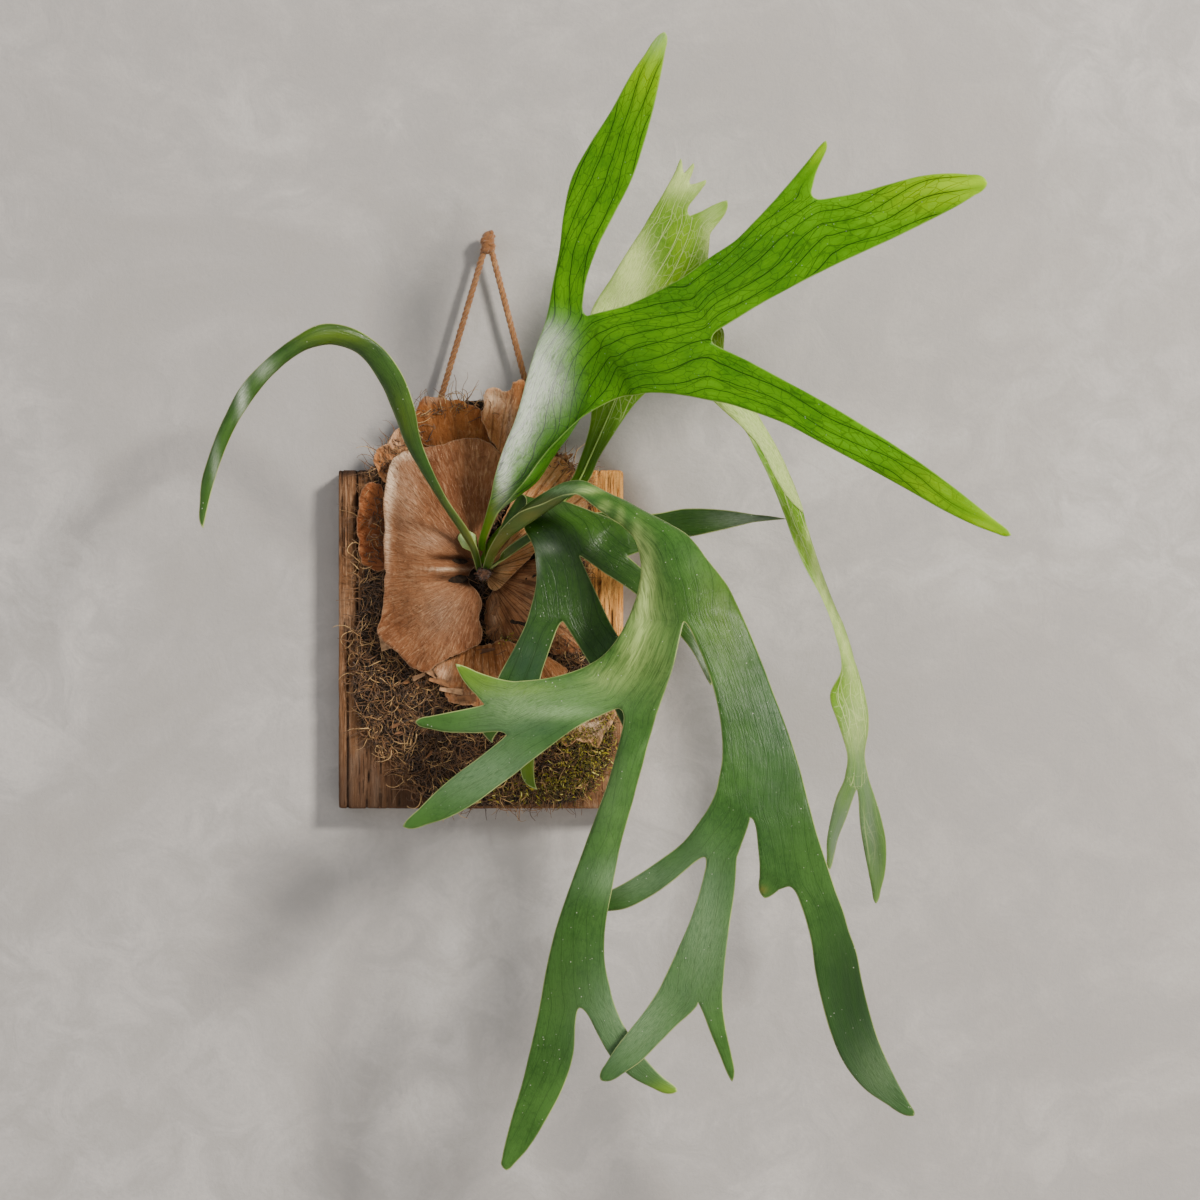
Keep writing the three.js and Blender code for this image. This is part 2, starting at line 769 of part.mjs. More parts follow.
const youngFrond = {
  rows: [
    [-5.5, 64, 49, -4, 66.5, 49],
    [-10, 66.5, 51, -4, 72.5, 51],
    [-14.5, 68.5, 52, -4.7, 78, 52],
    [-17, 73, 52, -9.5, 81, 52],
  ],
  tip: [-15.8, 79.6, 52],
  blunt: 1,
};

// ---- the mound of roots and dead shields, and the shields on it ----

const MOUND_OUTLINE = [
  [-92, 20], [-95, -10], [-95, -50], [-80, -78], [-58, -95], [-46, -117], [-20, -124], [30, -124],
  [70, -121], [87, -104], [98, -75], [97, -50], [84, -25], [80, 5], [77, 40], [77, 95], [70, 127],
  [52, 142], [32, 158], [28, 174], [5, 179], [-40, 172], [-53, 158], [-67, 140], [-80, 118],
  [-87, 80], [-88, 50],
];

// Each swelling of the mound: its middle, its half widths and its height.
const SWELLINGS = [
  [-40, 50, 34, 48, 22],
  [-10, 115, 45, 40, 12],
  [42, 45, 26, 50, 18],
  [0, -40, 55, 40, 8],
];

const closedCurve = (outline) =>
  new THREE.CatmullRomCurve3(
    outline.map(([x, z]) => new THREE.Vector3(x, 0, z)),
    true,
    "centripetal",
  );

// The mound's reach from its middle in each direction, by angle.
const moundReach = closedCurve(MOUND_OUTLINE)
  .getPoints(MOUND_OUTLINE.length * 8)
  .map((p) => [Math.atan2(p.z - MOUND.z, p.x - MOUND.x), Math.hypot(p.x - MOUND.x, p.z - MOUND.z)])
  .sort((p, q) => p[0] - q[0]);

function reachAt(angle) {
  const after = moundReach.findIndex(([a]) => a > angle);
  const next = moundReach[after < 0 ? 0 : after];
  const last = moundReach[after <= 0 ? moundReach.length - 1 : after - 1];
  const turn = (a) => (a + 2 * Math.PI) % (2 * Math.PI);
  const share = turn(angle - last[0]) / (turn(next[0] - last[0]) || 1);
  return last[1] + (next[1] - last[1]) * share;
}

// How far the mound's face stands out of the wall at (x, z).
function moundFace(x, z) {
  const far = Math.hypot(x - MOUND.x, z - MOUND.z);
  const share = Math.min(1, far / reachAt(Math.atan2(z - MOUND.z, x - MOUND.x)));
  let rise = MOUND.rise;
  for (const [cx, cz, wide, tall, height] of SWELLINGS) {
    rise += height * Math.exp(-(((x - cx) / wide) ** 2) - ((z - cz) / tall) ** 2);
  }
  return BOARD.thickness + GAP + MOUND.rim + rise * Math.sqrt(1 - share ** 3);
}

// A solid over an outline: rings from its middle to its rim, with a face and a back that stand out
// of the wall by two given formulas.
function layerGeometry(outline, middle, sides, rings, face, back) {
  const curve = closedCurve(outline);
  const rim = curve.getSpacedPoints(sides).slice(0, sides);
  const places = [middle];
  for (let ring = 1; ring <= rings; ring++) {
    for (const p of rim) {
      const share = ring / rings;
      places.push([middle[0] + (p.x - middle[0]) * share, middle[1] + (p.z - middle[1]) * share]);
    }
  }
  const points = [];
  for (const formula of [face, back]) {
    places.forEach(([x, z], i) => {
      const share = Math.ceil(i / sides) / rings;
      points.push(seen(x, z, formula(x, z, share)));
    });
  }
  const count = places.length;
  const at = (ring, side) => (ring === 0 ? 0 : 1 + (ring - 1) * sides + (side % sides));
  const skin = [];
  for (let side = 0; side < sides; side++) {
    for (let ring = 0; ring < rings; ring++) {
      const [a, b] = [at(ring, side), at(ring, side + 1)];
      const [c, d] = [at(ring + 1, side), at(ring + 1, side + 1)];
      const faces = ring === 0 ? [[a, c, d]] : [[a, c, d], [a, d, b]];
      for (const [p, q, r] of faces) skin.push([p, q, r], [p + count, r + count, q + count]);
    }
    const [c, d] = [at(rings, side), at(rings, side + 1)];
    skin.push([d, c, c + count], [d, c + count, d + count]);
  }
  return closedGeometry(points, skin);
}

function moundGeometry() {
  const flatBack = () => BOARD.thickness + GAP;
  return layerGeometry(MOUND_OUTLINE, [MOUND.x, MOUND.z], 44, 5, moundFace, flatBack);
}

// Shields: a middle, the layer that each lies in, how far its rim stands up, the place where it comes
// down to its seat on the mound with the depth of that dip, and its outline.
const SHIELDS = {
  shield_back_top: {
    middle: [-20, 160], layer: 0, rim: 0, sides: 28, rings: 3,
    outline: [
      [-50, 170], [-43, 181.5], [-33, 181], [-20, 180], [-10, 177], [0, 171], [5, 160], [10, 148],
      [5, 138], [-20, 136], [-42, 138], [-49, 150],
    ],
  },
  shield_top_right: {
    middle: [20, 162], layer: 1, rim: 1.5, sides: 24, rings: 3, seat: [30, 142, 4.2],
    outline: [
      [0, 166], [1, 176], [3, 187], [9, 189], [16, 186], [21, 187], [25, 197], [31, 194],
      [33, 180], [36, 160], [36, 140], [24, 134], [14, 138], [6, 152],
    ],
  },
  shield_left_upper: {
    middle: [-68, 137], layer: 0, rim: 2, sides: 22, rings: 2, seat: [-64, 136, 1.5],
    outline: [
      [-79, 128], [-81, 137], [-78, 143], [-70, 147], [-66, 155], [-61, 158], [-56, 150],
      [-57, 138], [-63, 126], [-72, 118], [-76, 122],
    ],
  },
  shield_left_small: {
    middle: [-80, 85], layer: 0, rim: 1.5, sides: 24, rings: 3, seat: [-72, 80, 1],
    outline: [
      [-92, 105], [-90, 113], [-85, 117], [-76, 116], [-70, 100], [-69, 80], [-69, 62], [-73, 52],
      [-83, 52], [-90, 58], [-93, 75], [-94, 90],
    ],
  },
  shield_right_lower: {
    middle: [40, 20], layer: 0, rim: 0, sides: 30, rings: 3,
    outline: [
      [13, 12], [14, 25], [20, 36], [30, 46], [44, 54], [58, 58], [68, 50], [75, 30], [77, 10],
      [76, -8], [60, -12], [40, -8], [22, -2],
    ],
  },
  shield_upper_right: {
    middle: [50, 108], layer: 0, rim: 1, sides: 26, rings: 3, seat: [60, 118, 1.1],
    outline: [
      [30, 100], [33, 116], [42, 126], [54, 136], [61, 130], [68, 118], [74, 104], [74, 88],
      [62, 82], [44, 82], [32, 88],
    ],
  },
  shield_right_upper: {
    middle: [40, 66], layer: 2, rim: 1, sides: 28, rings: 3, seat: [46, 64, 6.6],
    outline: [
      [18, 48], [19, 58], [22, 69], [30, 78], [44, 84], [58, 84], [66, 74], [66, 62], [54, 54],
      [40, 50], [28, 42], [18, 37], [13, 36],
    ],
  },
  shield_bottom: {
    middle: [5, -25], layer: 1, rim: 1, sides: 34, rings: 3, seat: [5, -50, 5.1],
    outline: [
      [-37, -21], [-26, -14.5], [-12, -8], [0, -4], [14, -1], [30, -6], [46, -12], [62, -22],
      [64, -40], [50, -54], [30, -60], [10, -56], [-8, -51], [-20, -49], [-28, -41], [-33, -29],
    ],
  },
  shield_bottom_right: {
    middle: [80, -66], layer: 0, rim: 2, sides: 22, rings: 2, seat: [70, -70, 0.4],
    outline: [
      [56, -75], [65, -80], [72, -75], [80, -80], [85, -82], [91, -73], [99, -60], [100, -52],
      [90, -51], [78, -56], [66, -64],
    ],
  },
  shield_main: {
    middle: [-42, 66], layer: 3, rim: 2.5, sides: 52, rings: 4, seat: [-13, 50, 11.7],
    outline: [
      [12, 141], [4, 148], [-8, 151], [-20, 149], [-33, 145], [-48, 143], [-60, 140], [-68, 133],
      [-72, 118], [-74, 102], [-73, 85], [-74, 65], [-73, 48], [-74, 30], [-76, 15], [-79, 5],
      [-72, -4], [-65, -9], [-58, -17], [-52, -22], [-42, -25], [-35, -20], [-20, -12.5],
      [-10, -8], [-2, -4], [0.5, 5], [-2, 15], [0, 28], [-4, 36], [-11, 42], [-15, 49],
      [-15, 58], [-14, 66], [-11, 74], [-2, 80], [8, 87], [14, 100], [17, 118], [17, 132],
    ],
  },
};

function shieldGeometry({ outline, middle, layer, rim, sides, rings, seat }) {
  const lift = SHIELD.clearance + SHIELD.layer * layer;
  const [seatX, seatZ, depth] = seat ?? [0, 0, 0];
  const dip = (x, z) =>
    depth * Math.exp(-((x - seatX) ** 2 + (z - seatZ) ** 2) / SHIELD.seatReach ** 2);
  const back = (x, z, share) => moundFace(x, z) + lift + rim * share ** 4 - dip(x, z);
  const face = (x, z, share) => back(x, z, share) + SHIELD.thickness;
  return layerGeometry(outline, middle, sides, rings, face, back);
}

// ---- rhizome ----

function rhizomeGeometry(strips) {
  const outline = [];
  for (let i = 0; i < 12; i++) {
    const angle = (i / 12) * 2 * Math.PI;
    const lump = 1 + BUD.lumps * Math.sin(3 * angle + 1);
    outline.push([
      BUD.x + BUD.wide * lump * Math.cos(angle),
      BUD.z + BUD.tall * lump * Math.sin(angle),
    ]);
  }
  const back = (x, z) => moundFace(x, z) - BUD.rooted;
  const face = (x, z, share) => back(x, z) + BUD.rooted + BUD.height * Math.sqrt(1 - share ** 3);
  let solid = solidOf(layerGeometry(outline, [BUD.x, BUD.z], 24, 5, face, back));
  solid = solid.subtract(solidOf(moundGeometry()).translate([0, -GAP, 0]));
  for (const strip of strips) solid = solid.subtract(solidOf(footSocket(strip)));
  return geometryOf(solid);
}

// ---- board, rope and knot ----

function ropeTop(side) {
  const x = KNOT.x + (side * KNOT_LEG.apart) / 2;
  return new THREE.Vector3(x, -ROPE.plane, KNOT.z - KNOT.tall / 2 + KNOT_LEG.seat);
}

function ropeFoot(side) {
  const x = side < 0 ? ROPE_HOLE.left : ROPE_HOLE.right;
  return new THREE.Vector3(x, -ROPE.plane, BOARD.height / 2);
}

// The straight line of one leg of the rope, from inside the knot to its end in the board.
function ropeLine(side) {
  const [top, foot] = [ropeTop(side), ropeFoot(side)];
  const heading = foot.clone().sub(top).normalize();
  return { top, heading, end: foot.clone().addScaledVector(heading, ROPE.intoBoard) };
}

function rodBetween(start, end, diameter, sides) {
  const length = start.distanceTo(end);
  const rod = new THREE.CylinderGeometry(diameter / 2, diameter / 2, length, sides);
  const turn = new THREE.Quaternion().setFromUnitVectors(
    new THREE.Vector3(0, 1, 0),
    end.clone().sub(start).normalize(),
  );
  rod.applyQuaternion(turn);
  const middle = start.clone().lerp(end, 0.5);
  return rod.translate(middle.x, middle.y, middle.z);
}

function boardGeometry() {
  const [w, h, r] = [BOARD.width / 2 - BOARD.bevel, BOARD.height / 2 - BOARD.bevel, BOARD.corner];
  const face = new THREE.Shape();
  face.moveTo(-w + r, -h).lineTo(w - r, -h).quadraticCurveTo(w, -h, w, -h + r);
  face.lineTo(w, h - r).quadraticCurveTo(w, h, w - r, h);
  face.lineTo(-w + r, h).quadraticCurveTo(-w, h, -w, h - r);
  face.lineTo(-w, -h + r).quadraticCurveTo(-w, -h, -w + r, -h);
  const slab = new THREE.ExtrudeGeometry(face, {
    depth: BOARD.thickness - 2 * BOARD.bevel,
    bevelThickness: BOARD.bevel,
    bevelSize: BOARD.bevel,
    bevelSegments: 1,
    curveSegments: 2,
  });
  slab.translate(0, 0, BOARD.bevel).rotateX(Math.PI / 2);
  let solid = solidOf(slab);
  for (const side of [-1, 1]) {
    const { heading, end } = ropeLine(side);
    const mouth = ropeFoot(side).addScaledVector(heading, -ROPE_HOLE.diameter);
    const bottom = end.clone().addScaledVector(heading, GAP);
    solid = solid.subtract(solidOf(rodBetween(mouth, bottom, ROPE_HOLE.diameter, 16)));
  }
  return geometryOf(solid);
}

function ropeGeometry(side) {
  const { top, heading, end } = ropeLine(side);
  const start = top.clone().addScaledVector(heading, GAP);
  const steps = Math.round(start.distanceTo(end) / ROPE.pitch);
  const round = new THREE.Shape();
  for (let i = 0; i < ROPE.sides; i++) {
    const angle = (i / ROPE.sides) * 2 * Math.PI;
    const [x, y] = [Math.cos(angle), Math.sin(angle)].map((v) => (v * ROPE.diameter) / 2);
    if (i === 0) round.moveTo(x, y);
    else round.lineTo(x, y);
  }
  round.closePath();
  const path = new THREE.LineCurve3(start, end);
  const tube = new THREE.ExtrudeGeometry(round, { steps, extrudePath: path });
  return geometryOf(solidOf(tube));
}

function knotGeometry() {
  const core = new THREE.SphereGeometry(0.5, 14, 10);
  core.scale(KNOT.wide, KNOT.deep, KNOT.tall);
  const wrap = (tilt, height) => {
    const ring = new THREE.TorusGeometry(KNOT.wide / 2 - 2, ROPE.diameter / 2, 8, 16);
    ring.rotateX(Math.PI / 2).rotateY(tilt).translate(0, 0, height);
    return solidOf(ring);
  };
  let solid = solidOf(core).add(wrap(0.35, 3)).add(wrap(-0.4, -4));
  solid = solid.translate([KNOT.x, -ROPE.plane, KNOT.z]);
  for (const side of [-1, 1]) {
    const { top, heading } = ropeLine(side);
    const far = top.clone().addScaledVector(heading, KNOT.tall);
    solid = solid.subtract(solidOf(rodBetween(top, far, ROPE.diameter + 2 * GAP, 2 * ROPE.sides)));
  }
  return geometryOf(solid);
}

// ---- materials ----

const surface = (color, roughness) =>
  new THREE.MeshStandardMaterial({ color, roughness, metalness: 0, side: THREE.DoubleSide });

const WOOD = surface("#8a6748", 0.9);
const ROOTS = surface("#4a3524", 1);
const BARK = surface("#5b4028", 0.9);
const DRY_SHIELD = surface("#b98a62", 0.8);
const AMBER_SHIELD = surface("#a5632c", 0.7);
const BRIGHT_LEAF = surface("#6fa32a", 0.5);
const DEEP_LEAF = surface("#2f5a23", 0.45);
const GREY_LEAF = surface("#7b9b62", 0.6);
const JUTE = surface("#9a7850", 0.95);

// ---- the object ----

const FRONDS = {
  frond_up: [upFrond, BRIGHT_LEAF],
  frond_back: [backFrond, BRIGHT_LEAF],
  frond_left: [leftFrond, DEEP_LEAF],
  frond_front: [frontFrond, GREY_LEAF],
  frond_middle: [middleFrond, DEEP_LEAF],
  frond_low: [lowFrond, DEEP_LEAF],
  frond_young: [youngFrond, GREY_LEAF],
};

const fern = new THREE.Group();

function add(name, geometry, material) {
  const mesh = new THREE.Mesh(geometry, material);
  mesh.name = name;
  fern.add(mesh);
}

add("board", boardGeometry(), WOOD);
add("root_mound", moundGeometry(), ROOTS);
add("rhizome", rhizomeGeometry(Object.values(FRONDS).map(([strip]) => strip)), BARK);
for (const [name, shield] of Object.entries(SHIELDS)) {
  const colour = name === "shield_back_top" ? AMBER_SHIELD : DRY_SHIELD;
  add(name, shieldGeometry(shield), colour);
}
for (const [name, [strip, material]] of Object.entries(FRONDS)) {
  add(name, leafGeometry(strip), material);
}
add("rope_left", ropeGeometry(-1), JUTE);
add("rope_right", ropeGeometry(1), JUTE);
add("knot", knotGeometry(), JUTE);

export default fern;
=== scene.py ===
"""A staghorn fern grown onto a weathered board that hangs on a pale wall by a jute rope."""
import math
import random

import bpy
import numpy as np
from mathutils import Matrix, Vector, kdtree, noise


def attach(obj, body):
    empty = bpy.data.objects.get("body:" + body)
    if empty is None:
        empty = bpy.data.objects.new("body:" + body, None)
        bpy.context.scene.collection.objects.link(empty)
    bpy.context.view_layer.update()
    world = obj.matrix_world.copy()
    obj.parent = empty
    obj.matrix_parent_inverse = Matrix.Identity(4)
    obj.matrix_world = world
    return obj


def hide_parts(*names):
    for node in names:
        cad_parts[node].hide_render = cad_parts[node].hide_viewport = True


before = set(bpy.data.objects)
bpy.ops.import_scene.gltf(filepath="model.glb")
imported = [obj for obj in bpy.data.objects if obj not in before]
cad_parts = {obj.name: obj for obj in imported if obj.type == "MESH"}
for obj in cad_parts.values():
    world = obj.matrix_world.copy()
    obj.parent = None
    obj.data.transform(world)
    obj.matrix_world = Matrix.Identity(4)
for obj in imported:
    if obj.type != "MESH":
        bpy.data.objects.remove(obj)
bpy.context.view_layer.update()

MM = 0.001
TAU = 2 * math.pi
EYE_X, EYE_Z, EYE_FAR = 88.5, 29.25, 2600.0  # the camera's place before the wall, in mm


def seen(x, z, out):
    """The point, in mm, that hides (x, z) of the wall from the camera and stands out of the wall."""
    k = 1 - out / EYE_FAR
    return np.array((EYE_X + (x - EYE_X) * k, -out, EYE_Z + (z - EYE_Z) * k))


def unit(v):
    return v / (np.linalg.norm(v) or 1.0)


def smooth(low, high, value):
    t = np.clip((value - low) / (high - low), 0, 1)
    return t * t * (3 - 2 * t)


def wobble(point, scale, seed=0.0):
    """Smooth noise of about -1 to 1 at a point in mm, with features of about scale mm."""
    return noise.noise(Vector(point) / scale + Vector((seed, seed * 1.7, seed * 0.3)))


# ---- meshes ----

def add_object(name, data):
    thing = bpy.data.objects.new(name, data)
    bpy.context.scene.collection.objects.link(thing)
    return thing


def make_mesh(name, points, faces, material, attributes=None, uv=None):
    mesh = bpy.data.meshes.new(name)
    mesh.from_pydata((np.asarray(points) * MM).tolist(), [], faces)
    for key, values in (attributes or {}).items():
        layer = mesh.attributes.new(key, "FLOAT", "POINT")
        layer.data.foreach_set("value", np.asarray(values, dtype=np.float32))
    if uv is not None:
        layer = mesh.uv_layers.new(name="UVMap")
        corners = np.empty(len(mesh.loops), dtype=np.int32)
        mesh.loops.foreach_get("vertex_index", corners)
        layer.data.foreach_set("uv", np.asarray(uv, dtype=np.float32)[corners].ravel())
    mesh.shade_smooth()
    mesh.materials.append(material)
    mesh.update()
    return add_object(name, mesh)


def twice(values):
    """Values for the front and for the back of a sheet."""
    return np.concatenate([values, values])


def vertex_normals(points, triangles):
    tri = points[triangles]
    normal = np.cross(tri[:, 1] - tri[:, 0], tri[:, 2] - tri[:, 0])
    total = np.zeros_like(points)
    for corner in range(3):
        np.add.at(total, triangles[:, corner], normal)
    return total / np.maximum(np.linalg.norm(total, axis=1, keepdims=True), 1e-12)


def open_edges(triangles):
    """The directed edges of the rim of a surface."""
    free = {}
    for a, b, c in triangles.tolist():
        for p, q in ((a, b), (b, c), (c, a)):
            if (q, p) in free:
                del free[(q, p)]
            else:
                free[(p, q)] = True
    return list(free)


def even_out(values, triangles, rim, rounds, along_rim=True):
    """Evens values between neighbours on a surface. Those of its rim go along the rim or stay."""
    rim = np.array(rim)
    inner = np.ones(len(values), dtype=bool)
    inner[rim.ravel()] = False
    pairs = ([0, 1], [1, 2], [2, 0], [1, 0], [2, 1], [0, 2])
    edges = np.vstack([triangles[:, pair] for pair in pairs])
    edges = np.vstack([edges[inner[edges[:, 0]]], rim, rim[:, ::-1]])
    share = np.maximum(np.bincount(edges[:, 0], minlength=len(values)), 1)[:, None]
    moves = inner | along_rim
    values = values.copy()
    for _ in range(rounds):
        total = np.zeros_like(values)
        np.add.at(total, edges[:, 0], values[edges[:, 1]])
        values[moves] += 0.5 * (total / share - values)[moves]
    return values


def shell_faces(triangles, count, rim):
    """Faces of a closed sheet whose back points follow its count front points."""
    front = triangles.tolist()
    back = [[a + count, c + count, b + count] for a, b, c in front]
    return front + back + [[q, p, p + count, q + count] for p, q in rim]


def skin_sheet(points, triangles, thickness, rim):
    """Points and faces of a closed sheet about a surface, with a wall round its rim."""
    half = vertex_normals(points, triangles) * (thickness / 2)[:, None]
    return np.concatenate([points + half, points - half]), shell_faces(triangles, len(points), rim)


def distance_to_rim(points, rim):
    on_rim = [points[p] + (points[q] - points[p]) * share for p, q in rim for share in (0.0, 0.33, 0.67)]
    tree = kdtree.KDTree(len(on_rim))
    for i, place in enumerate(on_rim):
        tree.insert(place, i)
    tree.balance()
    return np.array([tree.find(p)[2] for p in points])


def quads(rows, columns, closed=False):
    """The faces between rows of points, with columns of faces in each row, open or closed to a ring."""
    count = columns if closed else columns + 1
    faces = []
    for i in range(rows):
        for j in range(columns):
            a, b = i * count + j, i * count + (j + 1) % count
            faces.append([a, b, b + count, a + count])
    return faces


def tube(path, radius, sides):
    """Points and faces of a capped tube along a path. radius is a number or one for each point."""
    path = np.asarray(path, dtype=float)
    radius = np.broadcast_to(np.asarray(radius, dtype=float), (len(path),))
    ahead = np.gradient(path, axis=0)
    ahead /= np.maximum(np.linalg.norm(ahead, axis=1, keepdims=True), 1e-9)
    side = np.cross(ahead[0], (0.3, 0.9, 0.31))
    angles = np.arange(sides) / sides * TAU
    points = []
    for i, place in enumerate(path):
        side = unit(side - ahead[i] * side.dot(ahead[i]))
        ring = np.outer(np.cos(angles), side) + np.outer(np.sin(angles), np.cross(ahead[i], side))
        points.append(place + ring * radius[i])
    last = (len(path) - 1) * sides
    faces = quads(len(path) - 1, sides, closed=True)
    faces += [list(range(sides))[::-1], [last + j for j in range(sides)]]
    return np.concatenate(points), faces


class Heap:
    """Many small forms gathered into one mesh."""

    def __init__(self):
        self.points, self.faces, self.shade, self.count = [], [], [], 0

    def add(self, points, faces, shade):
        self.faces += [[i + self.count for i in face] for face in faces]
        self.points.append(points)
        self.shade.append(np.full(len(points), shade))
        self.count += len(points)

    def build(self, name, material):
        shade = np.concatenate(self.shade)
        return make_mesh(name, np.concatenate(self.points), self.faces, material, {"shade": shade})


def own(piece, slot, *nodes):
    """Puts a piece on the object's one body and hides the nodes that it stands for; its finish, slot, is
    not used.
    """
    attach(piece, "root")
    if nodes:
        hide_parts(*nodes)
    return piece


# ---- camera ----

camera = add_object("camera", bpy.data.cameras.new("camera"))
camera.location = (EYE_X * MM, -EYE_FAR * MM, EYE_Z * MM)
camera.rotation_euler = (math.pi / 2, 0, 0)
camera.data.sensor_width, camera.data.lens = 36, 104
camera.data.clip_start, camera.data.clip_end = 0.05, 50
bpy.context.scene.camera = camera

# ---- materials ----

def dim(colour, share):
    return tuple(share * c for c in colour)


class Graph:
    """A material with one Principled shader, and short names for the nodes that feed it."""

    def __init__(self, name, **constants):
        self.material = bpy.data.materials.new(name)
        self.material.use_nodes = True
        self.nodes = self.material.node_tree.nodes
        self.links = self.material.node_tree.links
        self.shader = self.nodes["Principled BSDF"]
        self.output = self.nodes["Material Output"]
        self.feed(self.shader, **constants)

    def node(self, kind, **settings):
        node = self.nodes.new("ShaderNode" + kind)
        for key, value in settings.items():
            setattr(node, key, value)
        return node

    def put(self, socket, value):
        if isinstance(value, bpy.types.NodeSocket):
            self.links.new(value, socket)
        elif isinstance(value, tuple) and len(value) == 3 and socket.type == "RGBA":
            socket.default_value = (*value, 1)
        else:
            socket.default_value = value

    def feed(self, node, **values):
        """Sets or links a node's sockets by their names, with _ for a space."""
        for name, value in values.items():
            self.put(node.inputs[name.replace("_", " ")], value)
        return node

    def math(self, operation, a, b, clamp=False):
        node = self.node("Math", operation=operation, use_clamp=clamp)
        self.put(node.inputs[0], a)
        self.put(node.inputs[1], b)
        return node.outputs[0]

    def times(self, first, *others):
        for value in others:
            first = self.math("MULTIPLY", first, value)
        return first

    def mix(self, factor, a, b):
        node = self.node("Mix", data_type="RGBA")
        return self.feed(node, Factor=factor, A=a, B=b).outputs["Result"]

    def coats(self, base, *coats):
        """Each coat is (how much, colour), laid over the one before."""
        for share, colour in coats:
            base = self.mix(share, base, colour)
        return base

    def ramp(self, value, low, high, bottom=0.0, top=1.0):
        node = self.node("MapRange", clamp=True, interpolation_type="SMOOTHSTEP")
        self.feed(node, Value=value, From_Min=low, From_Max=high, To_Min=bottom, To_Max=top)
        return node.outputs["Result"]

    def attribute(self, name):
        return self.node("Attribute", attribute_name=name).outputs["Fac"]

    def place(self, scale=(1, 1, 1), source="Object", shift=(0, 0, 0)):
        """The object's own place in metres, or the UV map, stretched by scale."""
        found = self.node("TexCoord").outputs[source]
        return self.feed(self.node("Mapping"), Vector=found, Scale=scale, Location=shift).outputs[0]

    def noise(self, where, scale, detail=4.0, rough=0.55, warp=0.0):
        node = self.node("TexNoise")
        self.feed(node, Vector=where, Scale=scale, Detail=detail, Roughness=rough, Distortion=warp)
        return node.outputs["Fac"]

    def hairs(self, stretch, detail, rough=0.55, warp=0.0):
        """Noise on the UV map, drawn out into streaks or hairs by its stretch."""
        return self.noise(self.place((*stretch, 1), "UV"), 1.0, detail, rough, warp)

    def cells(self, where, scale, feature="DISTANCE_TO_EDGE", jitter=1.0):
        node = self.node("TexVoronoi", feature=feature)
        return self.feed(node, Vector=where, Scale=scale, Randomness=jitter).outputs["Distance"]

    def wandering(self, apart, bend, seed):
        """How far each place is from the nearest of many wandering lengthwise lines: 0 on one."""
        split = self.node("SeparateXYZ")
        self.links.new(self.place(source="UV"), split.inputs[0])
        drift = self.noise(self.place((0.17, 0.1, 1), "UV", (seed, seed, 0)), 1.0, 1)
        line = self.math("ADD", self.math("DIVIDE", split.outputs[0], apart), self.times(drift, bend))
        return self.math("PINGPONG", line, 0.5)

    def bump(self, *heights):
        """Each height is (value, depth in metres), laid over the one before."""
        normal = None
        for value, depth in heights:
            node = self.feed(self.node("Bump"), Distance=depth, Height=value)
            if normal is not None:
                self.links.new(normal, node.inputs["Normal"])
            normal = node.outputs[0]
        self.links.new(normal, self.shader.inputs["Normal"])
        return normal

    def finish(self, colour, rough=None):
        self.feed(self.shader, Base_Color=colour)
        if rough is not None:
            self.feed(self.shader, Roughness=rough)

    def blend(self, share, other):
        """Shows another shader for a share of the light."""
        both = self.node("MixShader")
        self.put(both.inputs[0], share)
        self.links.new(self.shader.outputs[0], both.inputs[1])
        self.links.new(other.outputs[0], both.inputs[2])
        self.links.new(both.outputs[0], self.output.inputs["Surface"])

    def translucent(self, colour, share, normal):
        """Lets light through the sheet: a share of it is scattered to the other side."""
        self.blend(share, self.feed(self.node("BsdfTranslucent"), Color=colour, Normal=normal))


# Colours that all fronds share.
LIME_TIP, PALE_RIDGE_AND_HIGHLIGHT, BROWN_STALK = (0.42, 0.66, 0.0), (0.6, 0.78, 0.24), (0.17, 0.14, 0.02)
LEAF_SPECK, PALE_MARGIN, VEIN_THROUGH = (0.68, 0.7, 0.56), (0.62, 0.7, 0.26), (0.01, 0.05, 0.0)


